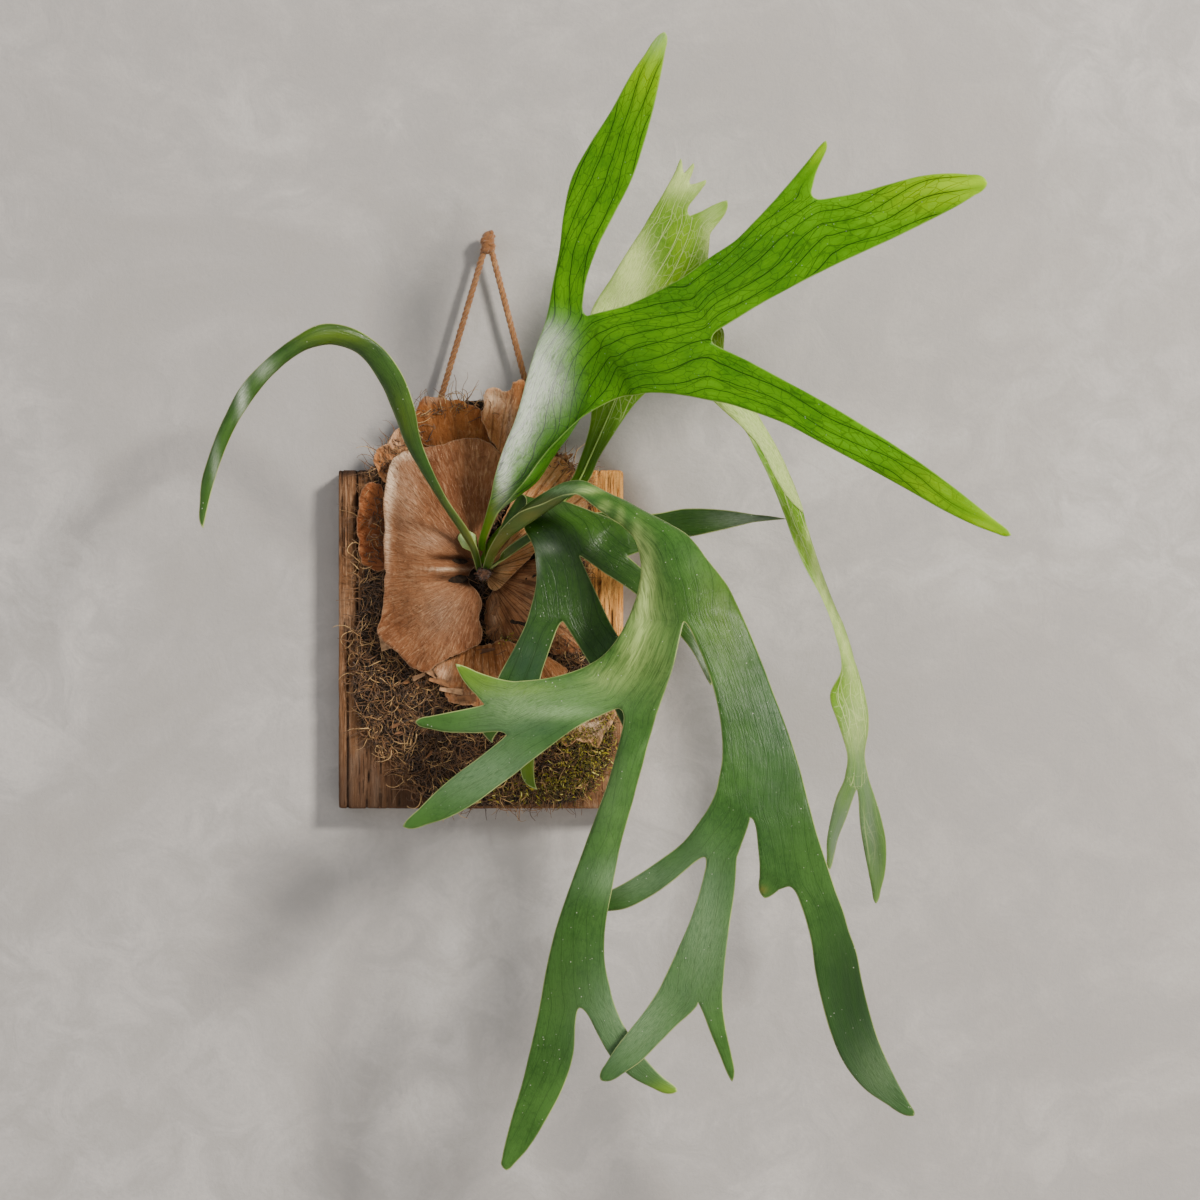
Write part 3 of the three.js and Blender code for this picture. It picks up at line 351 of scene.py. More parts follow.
def leaf_material(name, deep, light, vein, share, gloss=0.42, through=(0.2, 0.5, 0.01),
                  bloom_and_highlight_top=0.6, vein_tint=(0.006, 0.035, 0.0), silver=(0.72, 0.78, 0.66),
                  shine=0.4, painted_shade_tone=(0.03, 0.09, 0.04)):
    """A fern frond: veins and a net between them, silvery hairs and pale ridges that also paint
    highlights, painted shade, specks, pale margins and lime tips.
    """
    g = Graph(name, IOR=1.45, Specular_IOR_Level=shine)
    here = g.place()
    streaks = g.hairs((7.0, 0.6), 3, 0.6, 0.4)
    fine = g.hairs((24, 1.7), 2, 0.6, 0.2)
    clouds = g.noise(here, 28, 3)
    grains = g.noise(here, 1500, 2, 0.6)
    mottle = g.noise(here, 380, 4, 0.7)
    # pale ridges and midribs, whose pale colour also paints highlights along them
    ridge = g.times(g.attribute("pale_ridge_and_highlight"), g.ramp(streaks, 0.34, 0.6, 0.45, 1))
    # lengthwise veins that part and meet again, and a finer net between them
    off = g.wandering(0.95, 3.0, 0.0)
    strong = g.ramp(off, 0.012, 0.05, 1, 0)
    second = g.ramp(g.wandering(1.2, 4.2, 7.3), 0.008, 0.032, 0.7, 0)
    net = g.ramp(g.cells(g.place((1.9, 0.95, 1), "UV"), 1.0, jitter=0.9), 0.01, 0.05, 0.42, 0)
    # veins fade on narrow strips, at the margin, under painted shade and on pale ridges
    fade = g.times(g.ramp(g.attribute("broad"), 0.1, 0.26), g.ramp(g.attribute("rim"), 0.4, 2.0),
                   g.ramp(g.attribute("deep"), 0.1, 0.6, 1, 0.25),
                   g.ramp(g.attribute("pale_ridge_and_highlight"), 0.0, 0.5, 1, 0.2))
    lines = g.math("MAXIMUM", g.math("MAXIMUM", strong, second), net)
    lines = g.times(lines, g.times(fade, vein))
    # silvery hairs, thinner where they are rubbed; their near white also paints the sun's highlight on
    # the frond
    rubbed = g.times(g.ramp(fine, 0.3, 0.62), g.ramp(grains, 0.3, 0.62, 0.6, 1))
    bloom_and_highlight = g.math("MULTIPLY", g.attribute("bloom_and_highlight"), g.math("ADD", 0.5, rubbed), clamp=True)
    bloom_and_highlight = g.times(bloom_and_highlight, bloom_and_highlight_top)
    specks = g.ramp(g.cells(here, 230, "F1"), 0.06, 0.12, 1, 0)
    rare = g.times(specks, g.ramp(g.noise(here, 45, 2), 0.45, 0.65, 0, 0.55))
    edge = g.times(g.ramp(g.attribute("rim"), 0.2, 0.9, 0.65, 0), g.ramp(clouds, 0.35, 0.65, 0.35, 1))
    base = g.coats(
        g.mix(g.ramp(clouds, 0.32, 0.7), deep, light),
        (g.ramp(streaks, 0.42, 0.72, 0, 0.35), light),
        (g.ramp(mottle, 0.4, 0.68, 0, 0.35), light),
        (g.ramp(mottle, 0.32, 0.48, 0.3, 0), dim(deep, 0.5)),
        # painted shade: a dim bluish tone, and a darkening of the leaf's deep colour, where the frond
        # lies in shade
        (g.attribute("painted_shade_tone"), painted_shade_tone), (g.attribute("deep"), dim(deep, 0.4)),
        (g.attribute("lime"), LIME_TIP), (ridge, PALE_RIDGE_AND_HIGHLIGHT), (g.attribute("brown"), BROWN_STALK),
        (g.times(g.ramp(off, 0.02, 0.4, 0.45, 0), vein), deep),
        (lines, vein_tint), (bloom_and_highlight, silver), (rare, LEAF_SPECK), (edge, PALE_MARGIN))
    g.finish(base, g.ramp(g.math("ADD", fine, bloom_and_highlight), 0.3, 1.3, gloss - 0.1, gloss + 0.25))
    normal = g.bump((streaks, 0.00035), (lines, -0.00018), (fine, 0.00007), (grains, 0.00004))
    g.translucent(g.mix(lines, g.mix(0.6, base, through), VEIN_THROUGH), share, normal)
    return g.material


# Colours that all shields share.
PALE_FELT_AND_PAINTED_LIGHT, WORN_RIM, SHIELD_THROUGH = (0.92, 0.68, 0.46), (0.8, 0.55, 0.34), (0.8, 0.26, 0.06)


def shield_material(name, dark, middle, light, stripes=0.0, share=0.1):
    """A dry shield frond: fibrous lines from the bud, blotches, a velvet of short pale hairs, painted
    shade and shadow, and pale felt with painted light.
    """
    g = Graph(name, Specular_IOR_Level=0.2)
    here = g.place()
    blotch = g.noise(here, 26, 5, 0.62)
    lumps = g.noise(here, 120, 3, 0.6, 0.5)
    hairs = g.hairs((70, 17), 3, 0.62, 1.2)
    locks = g.hairs((24, 6), 3, 0.6, 1.4)
    grit = g.noise(here, 1000, 3, 0.7)
    lines = g.ramp(g.cells(g.place((9, 0.5, 1), "UV"), 1.0), 0.0, 0.09, 1, 0)
    fuzz = g.times(g.ramp(hairs, 0.54, 0.7), g.ramp(lumps, 0.38, 0.68, 0.1, 0.75))
    base = g.coats(
        g.mix(g.ramp(blotch, 0.3, 0.7), dark, middle),
        (g.ramp(locks, 0.48, 0.72, 0, 0.4), light),
        (g.times(lines, stripes), dim(dark, 0.3)),
        (fuzz, light),
        (g.ramp(hairs, 0.3, 0.45, 0.55, 0), dim(dark, 0.45)),
        (g.ramp(lumps, 0.24, 0.42, 0.5, 0), dim(dark, 0.4)),
        (g.ramp(grit, 0.35, 0.75, 0.2, 0), dim(dark, 0.4)),
        # painted shade in fold valleys and cracks, and painted shadow under lifted edges and stalks
        (g.attribute("dark"), dim(dark, 0.14)),
        # pale felt of frayed edges and torn strips, and painted light: a sunlit patch and highlights on
        # fold ridges
        (g.times(g.attribute("pale"), g.ramp(hairs, 0.36, 0.56, 0.35, 1)), PALE_FELT_AND_PAINTED_LIGHT),
        (g.ramp(g.attribute("rim"), 0.1, 1.0, 0.2, 0), WORN_RIM))
    g.finish(base, g.ramp(hairs, 0.2, 0.8, 0.9, 0.65))
    normal = g.bump((blotch, 0.001), (lumps, 0.0019), (locks, 0.0011), (hairs, 0.0007),
                    (grit, 0.0002))
    g.translucent(g.mix(0.5, base, SHIELD_THROUGH), share, normal)
    return g.material


def fibre_material(name, dark, light, tip):
    """Roots and threads: each has its own shade, and is darker in places."""
    g = Graph(name, Roughness=0.85, Sheen_Weight=0.2)
    here = g.place()
    shade = g.attribute("shade")
    g.finish(g.coats(
        g.mix(g.ramp(shade, 0, 0.75), dark, light),
        (g.ramp(shade, 0.8, 1.0), tip),
        (g.ramp(g.noise(here, 260, 3), 0.4, 0.7, 0, 0.6), dark)))
    g.bump((g.noise(here, 1400, 2), 0.0002))
    return g.material


def wood_material():
    """Old softwood: grain along Z, cracks with painted shade in them, greyed where it is open to the
    air, a sunlit right side and painted shade at the lower left.
    """
    g = Graph("weathered_wood", Specular_IOR_Level=0.25)
    here = g.place()
    grain = g.noise(g.place((1, 1, 0.06)), 700, 4, 0.7, 0.9)
    band = g.noise(g.place((1, 1, 0.09)), 130, 4, 0.65, 1.6)
    stain = g.noise(g.place((1, 1, 0.6)), 26, 5, 0.68, 0.6)
    grit = g.noise(here, 900, 4, 0.75)
    sunny = g.mix(g.ramp(grain, 0.35, 0.62), (0.54, 0.19, 0.036), (0.97, 0.48, 0.14))
    cracks = g.ramp(g.cells(g.place((1, 1, 0.045)), 170), 0.0, 0.035, 1, 0)
    few = g.times(cracks, g.ramp(g.noise(here, 50, 3), 0.5, 0.6))
    base = g.coats(
        g.mix(g.ramp(band, 0.3, 0.7), (0.13, 0.052, 0.02), (0.27, 0.125, 0.052)),
        (g.ramp(grain, 0.47, 0.66, 0, 0.7), (0.46, 0.27, 0.15)),
        (g.ramp(stain, 0.5, 0.72, 0, 0.6), (0.34, 0.25, 0.18)),
        (g.ramp(stain, 0.24, 0.44, 0.7, 0), (0.08, 0.034, 0.014)),
        (g.attribute("sun"), sunny),
        # painted shade: darker at the lower left and at the top left corner
        (g.attribute("painted_board_shade"), (0.045, 0.022, 0.012)),
        # fine cracks, painted dark inside as shade
        (g.times(few, 0.85), (0.025, 0.011, 0.005)),
        (g.ramp(grain, 0.3, 0.42, 0.7, 0), (0.05, 0.024, 0.01)),
        (g.ramp(grit, 0.32, 0.46, 0.5, 0), (0.06, 0.03, 0.014)),
        # painted shade in the carved cracks, darker the deeper they are
        (g.attribute("dark"), (0.012, 0.006, 0.004)))
    g.finish(base, g.ramp(grit, 0.2, 0.8, 0.7, 0.95))
    g.bump((band, 0.001), (grain, 0.0009), (few, -0.0012), (grit, 0.0004))
    return g.material


def root_material():
    """The mat under the fibres: nearly black soil, decayed leaf and roots."""
    g = Graph("root_mat", Roughness=0.95)
    here = g.place()
    threads = g.noise(here, 190, 5, 0.7, 2.5)
    clumps = g.noise(here, 60, 4, 0.6)
    g.finish(g.coats(
        g.mix(g.ramp(threads, 0.35, 0.7), (0.007, 0.004, 0.002), (0.055, 0.028, 0.01)),
        (g.ramp(clumps, 0.55, 0.75, 0, 0.6), (0.11, 0.058, 0.022))))
    g.bump((clumps, 0.003), (threads, 0.0025))
    return g.material


def jute_material():
    """Jute: coarse yarn along each strand, light and dark fibres."""
    g = Graph("jute", Roughness=0.9, Sheen_Weight=0.4, Sheen_Roughness=0.5)
    here = g.place()
    yarn = g.hairs((30, 1.2), 4, 0.7, 0.4)
    g.finish(g.coats(
        g.mix(g.ramp(yarn, 0.3, 0.7), (0.12, 0.035, 0.008), (0.52, 0.23, 0.07)),
        (g.ramp(g.noise(here, 130, 3), 0.5, 0.75, 0, 0.4), (0.66, 0.38, 0.17))))
    g.bump((yarn, 0.0005), (g.noise(here, 1800, 2), 0.0002))
    return g.material


BRIGHT = leaf_material("frond_bright", (0.055, 0.21, 0.0), (0.14, 0.4, 0.0), 0.85, 0.38,
                       bloom_and_highlight_top=1.0, through=(0.42, 0.85, 0.0), silver=(0.98, 1.0, 0.95), shine=0.25)
SILVER = leaf_material("frond_silver", (0.08, 0.24, 0.005), (0.24, 0.45, 0.02), 0.6, 0.3,
                       bloom_and_highlight_top=0.95, through=(0.6, 0.85, 0.1), vein_tint=(0.85, 0.95, 0.4),
                       silver=(0.9, 1.0, 0.42), shine=0.3, painted_shade_tone=(0.17, 0.24, 0.15))
DEEP = leaf_material("frond_deep", (0.015, 0.055, 0.003), (0.04, 0.11, 0.01), 0.6, 0.06, 0.4,
                     painted_shade_tone=(0.022, 0.06, 0.03))
GREY = leaf_material("frond_grey", (0.024, 0.088, 0.007), (0.062, 0.168, 0.024), 0.35, 0.12, 0.46,
                     silver=(0.38, 0.57, 0.28), shine=0.35, painted_shade_tone=(0.035, 0.098, 0.043))
YOUNG_GREEN = leaf_material("frond_young_green", (0.24, 0.4, 0.07), (0.46, 0.6, 0.2), 0.1, 0.2)
CINNAMON, TORN, AMBER, RUST, CREAM, BARK = (shield_material(*looks) for looks in (
    ("shield_cinnamon", (0.19, 0.064, 0.023), (0.37, 0.155, 0.064), (0.73, 0.42, 0.225)),
    ("shield_torn", (0.32, 0.108, 0.03), (0.64, 0.275, 0.105), (0.92, 0.57, 0.3), 0.6),
    ("shield_amber", (0.33, 0.098, 0.022), (0.56, 0.21, 0.058), (0.8, 0.42, 0.18), 0.25, 0.3),
    ("shield_rust", (0.17, 0.042, 0.012), (0.34, 0.11, 0.035), (0.6, 0.28, 0.12), 0.4, 0.15),
    ("shield_cream", (0.6, 0.24, 0.075), (0.88, 0.48, 0.2), (0.97, 0.7, 0.44), 0.85),
    ("shield_bark", (0.24, 0.082, 0.03), (0.48, 0.205, 0.083), (0.8, 0.47, 0.24), 0.75)))
FIBRES, MOSS, SCALES, JUTE_HAIRS = (fibre_material(*looks) for looks in (
    ("root_fibres", (0.03, 0.013, 0.005), (0.24, 0.11, 0.036), (0.8, 0.5, 0.2)),
    ("moss", (0.05, 0.04, 0.004), (0.5, 0.42, 0.015), (0.95, 0.88, 0.2)),
    ("dry_scales", (0.07, 0.025, 0.008), (0.34, 0.15, 0.055), (0.8, 0.52, 0.3)),
    ("jute_hairs", (0.3, 0.16, 0.07), (0.5, 0.3, 0.15), (0.7, 0.48, 0.28))))
ROOT_MAT, WOOD, JUTE = root_material(), wood_material(), jute_material()

# ---- leaf stations ----

# A leaf is a set of strips, each named by the turns that lead to it from the stalk, "": L is the left
# branch at a fork and R the right one. A strip has its sections, from the bud outwards, and its end.
# A section holds the left and the right margin, each as (x, z) seen on the wall with the distance out
# of it, and some also the middle. An end is a tip, where a fourth number says how blunt it is, or a
# fork: the left margin, the bottom of the sinus and the right margin.
UP = {
    "": ([
        [-0.8, 54, 48, 2.2, 54.5, 48], [-2.5, 66.5, 56, 2.5, 67.5, 56], [-2.5, 74, 64, 3.5, 75, 66],
        [0.5, 85, 72, 8.5, 87, 75], [3.5, 96, 78, 14, 98, 84, 12, 96, 79],
        [6.5, 107, 85, 22, 107, 96, 25, 106, 88], [9, 120, 92, 32, 119, 107, 40, 119, 96],
        [13, 134, 98, 43, 134, 115, 49, 134, 103], [18, 148, 103, 54, 147, 121, 57, 147, 109],
        [24, 162, 108, 68, 161, 126, 65, 162, 114], [29, 178, 112, 84, 171.5, 130, 66, 180, 120],
        [34, 197, 117, 97, 178.5, 135, 71, 198, 127], [40, 217, 123, 107, 182, 140, 79, 214, 133]
    ], [46.5, 235, 129, 79, 242.5, 138, 115, 182.8, 145]),
    "L": ([
        [50, 249, 132, 75.5, 251, 138], [53, 266, 136, 78, 268, 142], [58, 292, 145, 86, 292, 151],
        [61, 318, 153, 99, 318, 160], [67, 345, 162, 113, 346, 169], [80, 370, 172, 122, 373, 178],
        [96, 395, 182, 129, 399, 187], [112, 424, 192, 135, 427, 195], [123, 440, 197, 138, 443, 199]
    ], [137, 455.5, 203]),
    "R": ([
        [90, 245.5, 141, 125, 184.5, 150], [110, 251, 146, 140, 184, 155],
        [130, 260, 151, 155, 182, 159]
    ], [147, 269, 156, 173, 222, 165, 170, 179, 164]),
    "RL": ([
        [156, 275, 159, 177.5, 232, 168], [172, 287, 164, 194, 242, 174],
        [190, 299, 171, 214, 254, 181], [206, 315, 177, 238, 267, 188]
    ], [220, 330, 183, 251, 330.5, 189, 266, 281, 193]),
    "RLL": ([
        [226, 337, 185, 247.5, 336.5, 190], [238, 351, 190, 251, 350, 192],
        [247, 362, 194, 256, 361, 195]
    ], [258, 374, 199]),
    "RLR": ([
        [259, 330.5, 190, 279, 287, 195], [283, 335, 194, 300, 296.5, 198],
        [306, 341.5, 198, 322, 307, 201], [330, 347.5, 201, 342, 317, 204],
        [352, 349.5, 204, 358, 325.5, 206], [367, 348.5, 206, 370, 333, 207]
    ], [379, 342.5, 208]),
    "RR": ([
        [181, 217.5, 166, 184, 176.5, 168], [200, 208.5, 171, 203, 170.5, 173],
        [228, 193.5, 179, 228, 161, 181], [260, 176, 188, 258, 145, 190],
        [290, 158, 197, 288, 129, 199], [320, 138.5, 206, 318, 112.5, 208],
        [350, 117, 215, 347, 96, 216], [374, 98, 222, 371, 84.5, 222.5], [388, 87, 226, 387, 78.5, 226]
    ], [397, 78, 229]),
}

BACK = {
    "": ([
        [1.5, 58, 46, 4.5, 57, 46], [3, 71, 50.5, 7.5, 70.5, 50.5], [14, 85, 53, 20, 79, 53],
        [33, 99, 55, 41, 91, 55], [52, 111, 58, 61, 102, 58], [66, 119, 63, 79.5, 118, 63],
        [73, 134, 68, 88, 136, 68], [78, 149, 73, 96.5, 150, 73], [81.5, 165, 77, 107, 166, 77],
        [82, 185, 82, 118, 180, 83], [81, 205, 86, 134, 192, 90]
    ], [80, 226, 90, 150, 238, 96, 152, 193, 98]),
    "L": ([
        [82, 246, 94, 160, 258, 100], [97, 271, 100, 168, 274, 105], [108, 289, 105, 170, 290, 109]
    ], [121, 309, 110, 156, 317.5, 114, 171, 303, 113]),
    "LL": ([[125, 316, 111, 156, 326, 115]], [134, 331, 115, 156.5, 341, 118, 164, 336, 117]),
    "LLL": ([[138, 338, 117, 156, 345, 118.5]], [142.5, 346, 118.5, 151.5, 349.5, 120, 158, 350, 120]),
    "LLLL": ([[145.5, 352, 119.5, 150.5, 353, 120]], [149, 360.5, 121]),
    "LLLR": ([[153.5, 351.5, 120.5, 158.5, 352, 120.5]], [158.5, 357, 121.5]),
    "LLR": ([[160, 341.5, 118.5, 166, 339, 118]], [168, 344.5, 119]),
    "LR": ([[165, 321, 115, 176.5, 311, 114]], [184, 329, 117]),
    "R": ([
        [170, 243, 99, 158, 190, 101], [181, 232, 100, 164, 186, 104], [182, 213, 102, 173, 179, 107],
        [194, 191, 104, 184, 168.5, 111], [207, 168, 105, 198, 155.5, 116],
        [225, 136, 107, 207, 139, 120], [237, 108, 109, 218, 115, 124], [243.5, 85, 110, 229, 86, 128],
        [252.5, 57, 112, 241, 56, 132], [263.5, 28, 114, 256, 28, 134], [273, 5, 116, 265, 3, 136],
        [281, -20, 119, 270, -22, 137], [288, -45, 122, 261, -42, 135], [290, -66, 125, 268, -66, 134],
        [287, -88, 128, 274, -88, 134]
    ], [290, -104, 130, 281, -113, 133, 272, -104, 134]),
    "RL": ([
        [294, -116, 130, 282.5, -122, 133], [299, -132, 130, 283.5, -140, 132],
        [303, -152, 131, 286.5, -158, 132], [302.5, -174, 132, 290, -176, 133],
        [299, -189, 133, 292.5, -189, 133]
    ], [295.5, -198.5, 134]),
    "RR": ([
        [277.5, -122, 132, 265.5, -119, 133], [273, -135, 131, 261.5, -135, 132],
        [267, -150, 130, 258.5, -152, 131], [264, -163, 129, 258.5, -164, 129]
    ], [261, -173, 128]),
}

LEFT = {
    "": ([
        [-4.2, 51, 49, 0.3, 52, 49], [-6.5, 59.5, 57, -1.5, 61.5, 57], [-9.5, 68, 65, -4, 70, 66.5],
        [-16.5, 80, 73, -10, 81.5, 74.5], [-33, 105, 84, -26, 105, 86, -30, 104, 87],
        [-47, 128, 94, -38, 129, 97, -43, 127, 98], [-58, 148, 103, -46, 150, 107, -53, 148, 108],
        [-67, 172, 112, -51, 175, 117, -59, 173, 118], [-78, 195, 121, -60, 199, 126, -69, 197, 127],
        [-93, 214, 129, -75, 219, 133, -84, 217, 134],
        [-110, 220.5, 135, -97, 233, 138, -103, 227, 140],
        [-128, 218, 140, -120, 236.5, 142, -124, 227, 145],
        [-148, 206, 145, -144, 224, 147, -146, 215, 149],
        [-165, 189, 149, -165, 207, 150, -165, 198, 153],
        [-178, 171, 152, -181, 189, 153, -179, 180, 155],
        [-189, 151, 155, -193, 167, 155, -191, 159, 158],
        [-197, 130, 157, -203, 143, 157, -200, 136, 159],
        [-203, 110, 159, -210.5, 118, 159, -206.5, 114, 160], [-206.5, 95, 160, -212, 99, 160]
    ], [-209, 83, 161]),
}

FRONT = {
    "": ([
        [-0.5, 49.5, 50, 3.5, 48.5, 50, 2, 48, 51.5], [1, 55.5, 59, 7, 54.5, 58.5, 4, 53.5, 61],
        [6, 69, 85, 13, 71, 80, 11.5, 66, 86], [15, 83, 100, 22, 88, 91, 22, 77, 100],
        [28, 95, 112, 34, 101.5, 101, 33.5, 85, 111], [45, 101.5, 123, 50, 112, 112, 49, 96, 119],
        [60, 108, 133, 65, 118.6, 125, 64, 106, 132], [71, 108.5, 141, 76, 118.9, 131, 74, 112, 140],
        [84, 99.5, 149, 94, 109.5, 139, 89.5, 105.5, 148],
        [95, 91.5, 155, 109, 103, 149, 102, 100, 160], [106, 84, 159, 126, 94, 157, 114, 91, 166],
        [115, 74, 162, 141, 86, 165, 126, 81, 171], [118.5, 62, 164, 155, 77, 172, 135, 70, 177],
        [119.5, 50, 167, 169, 60, 178, 141, 55, 183], [117, 35, 171, 184, 40, 184, 147, 37, 190]
    ], [111, 18, 177, 151.5, 12.5, 198, 196, 16, 192]),
    "L": ([
        [105, 6, 180, 148.5, 1, 200], [96, -7, 184, 144, -19, 203], [88, -14.5, 187, 138.5, -36, 205]
    ], [78, -20.5, 190, 103, -52.5, 201, 131, -57, 207]),
    "LL": ([
        [65, -25.5, 192, 92, -56, 199], [48, -29.5, 194, 73, -65, 198]
    ], [25, -31.8, 195, 18, -72, 193, 36, -92, 195]),
    "LLL": ([[12, -29.7, 193, 9, -69.5, 192]], [3, -27, 192, 1.5, -49, 191, -4, -70.5, 190]),
    "LLLL": ([[-4, -24.5, 190, -5, -41.5, 189.5]], [-20, -18.5, 187, 0.6]),
    "LLLR": ([
        [-9, -51.8, 189, -13, -70.3, 188], [-25, -55, 187, -27, -69.8, 186],
        [-40, -58, 185, -41, -67, 184]
    ], [-50, -62, 183]),
    "LLR": ([
        [9, -80, 191, 25, -101, 192], [-3, -89.5, 189, 12, -110.5, 190],
        [-18, -100.5, 187, -5, -123, 188], [-34, -114, 185, -25, -134, 185],
        [-48, -128, 183, -42, -139.5, 183]
    ], [-59.5, -140.5, 181]),
    "LR": ([
        [105.5, -66, 202, 127.5, -69, 207], [99, -92, 203, 120.5, -94, 208, 110, -93, 210],
        [90, -120, 204, 113, -122, 208, 102, -121, 210], [78, -153, 205, 104, -155, 207, 91, -154, 210],
        [66, -185, 205, 98, -185, 205, 82, -185, 209], [56, -215, 204, 93, -212, 203, 74, -214, 207],
        [49, -243, 202, 92, -240, 201, 70, -242, 205]
    ], [44, -270, 199, 73, -277, 200, 97, -266, 198]),
    "LRL": ([
        [41, -286, 197, 70, -290, 198], [36, -308, 195, 68.5, -312, 196],
        [30, -333, 192, 61, -336, 193], [22.5, -358, 189, 48, -361, 190],
        [17, -379, 186, 34, -383, 187], [14.5, -391, 184.5, 24, -394, 185]
    ], [18, -398.5, 184]),
    "LRR": ([
        [81.5, -286, 198, 103, -283, 197], [88, -299, 196, 112, -299, 196],
        [97, -314, 195, 122, -314, 195], [112, -328.5, 194, 134, -327, 194],
        [130, -338, 193, 143, -334, 193]
    ], [146.5, -339.5, 193]),
    "R": ([
        [159, 1, 201, 203.5, -1, 195], [168, -20, 206, 212, -23, 200], [175, -43, 211, 220, -44, 206],
        [179.5, -68, 215, 229, -68, 211], [180, -90, 218, 237, -92, 215]
    ], [176, -112, 220, 201, -134, 222, 247, -130, 219]),
    "RL": ([[170, -126, 219, 197, -148, 221]], [160, -141, 217, 167, -164, 219, 191.5, -163, 220]),
    "RLL": ([
        [150, -153, 213, 158, -169, 215], [135, -164.5, 207, 142, -182.5, 208],
        [119, -175.5, 199, 125, -194, 199], [105, -184, 192, 107, -202.5, 192],
        [92, -190.5, 187, 92, -204.5, 187]
    ], [78, -200, 185]),
    "RLR": ([
        [167, -174, 218, 190.5, -176, 219], [163, -190, 218, 189, -193, 219],
        [156, -211, 217, 186, -213, 218], [147, -232, 215, 183, -236, 216]
    ], [134, -260, 213, 162, -273, 213, 180.5, -264, 213]),
    "RLRL": ([
        [126, -273, 211, 154, -283, 212], [120, -281.5, 210, 146, -290, 211],
        [110, -294, 209, 133, -303, 209], [100, -307, 207, 119, -317, 207],
        [92, -319.5, 206, 105, -326.5, 206]
    ], [89, -331, 205]),
    "RLRR": ([
        [167, -284, 211, 181, -279, 211], [171.5, -296, 209, 183.5, -295, 209],
        [179, -314, 206, 187.5, -313, 206]
    ], [187.5, -332, 203]),
    "RR": ([[206, -146, 222, 251, -145, 219]], [208, -168, 222, 229, -186, 220, 265, -188, 216]),
    "RRL": ([[208, -179, 220, 223, -188, 219]], [212, -194.5, 218]),
    "RRR": ([
        [237, -194, 218, 271, -204, 215], [242, -208, 217, 275, -218, 214],
        [247, -228, 214, 281, -235, 212], [250, -250, 211, 285, -256, 209],
        [255, -273, 209, 290, -277, 207], [262, -297, 207, 297.5, -301, 206],
        [272, -319, 205, 308, -325, 204], [287, -337.5, 203, 317.5, -343, 203],
        [305, -350, 202, 323, -352, 202]
    ], [324, -357.5, 201]),
}

MIDDLE = {
    "": ([
        [2.5, 55, 46, 6, 53.5, 46], [7.5, 66, 53.5, 11.5, 64.5, 54], [13.5, 83, 66, 19, 79.5, 67],
        [21, 98, 74, 29, 93, 75], [29, 109, 80, 39, 102, 81], [33, 105, 85, 50, 105, 84],
        [32, 95, 90, 62, 103, 89], [31.5, 84, 95, 74, 99, 94, 50, 92, 99],
        [39, 68, 102, 96, 90.5, 101, 64, 81, 107]
    ], [41, 50, 107, 73.5, 62, 113, 100, 88.5, 105]),
    "L": ([[39.5, 35, 110, 80, 47, 113]], [35.5, 20, 112, 60.5, 13, 115, 92, 21, 113]),
    "LL": ([
        [33, 12, 113, 55, 4, 115], [25, -5, 115, 50, -10, 116], [12, -29, 117, 44, -29, 117]
    ], [3, -50, 116, 24, -62, 116, 41, -55, 116]),
    "LLL": ([[0, -60, 115, 15, -67, 115]], [8, -78, 111]),
    "LLR": ([
        [29, -71, 115, 41, -67, 115], [27, -86, 112, 40, -81, 112], [29, -99, 107, 39, -94, 107]
    ], [41.5, -113, 103]),
    "LR": ([
        [68, 2, 116, 98, 9, 114], [76, -11, 117, 106, -4, 116], [85, -26, 118, 114, -18, 117],
        [94, -42, 118, 120, -36, 117], [103, -60, 117, 122, -55, 117]
    ], [117, -78, 115]),
    "R": ([[80, 58, 112, 106, 85, 107]], [91, 50, 112, 109, 62, 113, 112, 81, 108]),
    "RL": ([
        [98, 45.5, 113, 115, 57, 113], [108, 39, 115, 125, 48, 115], [121, 29, 118, 137, 35, 118],
        [135, 16.5, 121, 150, 19, 121], [149, 2, 124, 160, 4, 124], [158, -10, 126, 167, -10, 126],
        [165, -23, 127, 171.5, -22, 127]
    ], [171.5, -35, 128]),
    "RR": ([[117, 65, 112, 121, 77, 109]], [140, 69, 110, 0.5]),
}

LOW = {
    "": ([
        [2.5, 49.5, 48, 5, 52.5, 48], [10, 55.5, 54, 13, 58.5, 54], [18, 60, 64, 15, 65, 65],
        [30, 68.5, 71, 26, 74, 72], [42, 76, 76, 39, 81.5, 77], [60, 80, 79, 57, 89, 80],
        [80, 80, 81, 78, 94, 82], [103, 76.5, 85, 102, 95.5, 86], [130, 74, 91, 128, 94, 92],
        [155, 76.5, 97, 152, 97.8, 98], [177, 81, 102, 180, 97, 102], [203, 87.3, 106, 206, 93.2, 106]
    ], [229, 90, 109, 0.4]),
}

YOUNG = {
    "": ([
        [-5.5, 64, 57, -4, 66.5, 57], [-10, 66.5, 61, -4, 72.5, 61], [-14.5, 68.5, 64, -4.7, 78, 64],
        [-17, 73, 65, -9.5, 81, 65]
    ], [-15.8, 79.6, 65, 1]),
}

# The mound's outline as (x, z), and where its face swells: x, z, half width, half height, height.
MOUND_OUTLINE = [
    [-92, 20], [-95, -10], [-95, -50], [-80, -78], [-58, -95], [-46, -117], [-20, -124], [30, -124],
    [70, -121], [87, -104], [98, -75], [97, -50], [84, -25], [80, 5], [77, 40], [77, 95], [70, 127],
    [52, 142], [32, 158], [28, 174], [5, 179], [-40, 172], [-53, 158], [-67, 140], [-80, 118],
    [-87, 80], [-88, 50]
]

SWELLINGS = [[-40, 50, 34, 48, 22], [-10, 115, 45, 40, 12], [42, 45, 26, 50, 18], [0, -40, 55, 40, 8]]

# ---- leaf blades ----

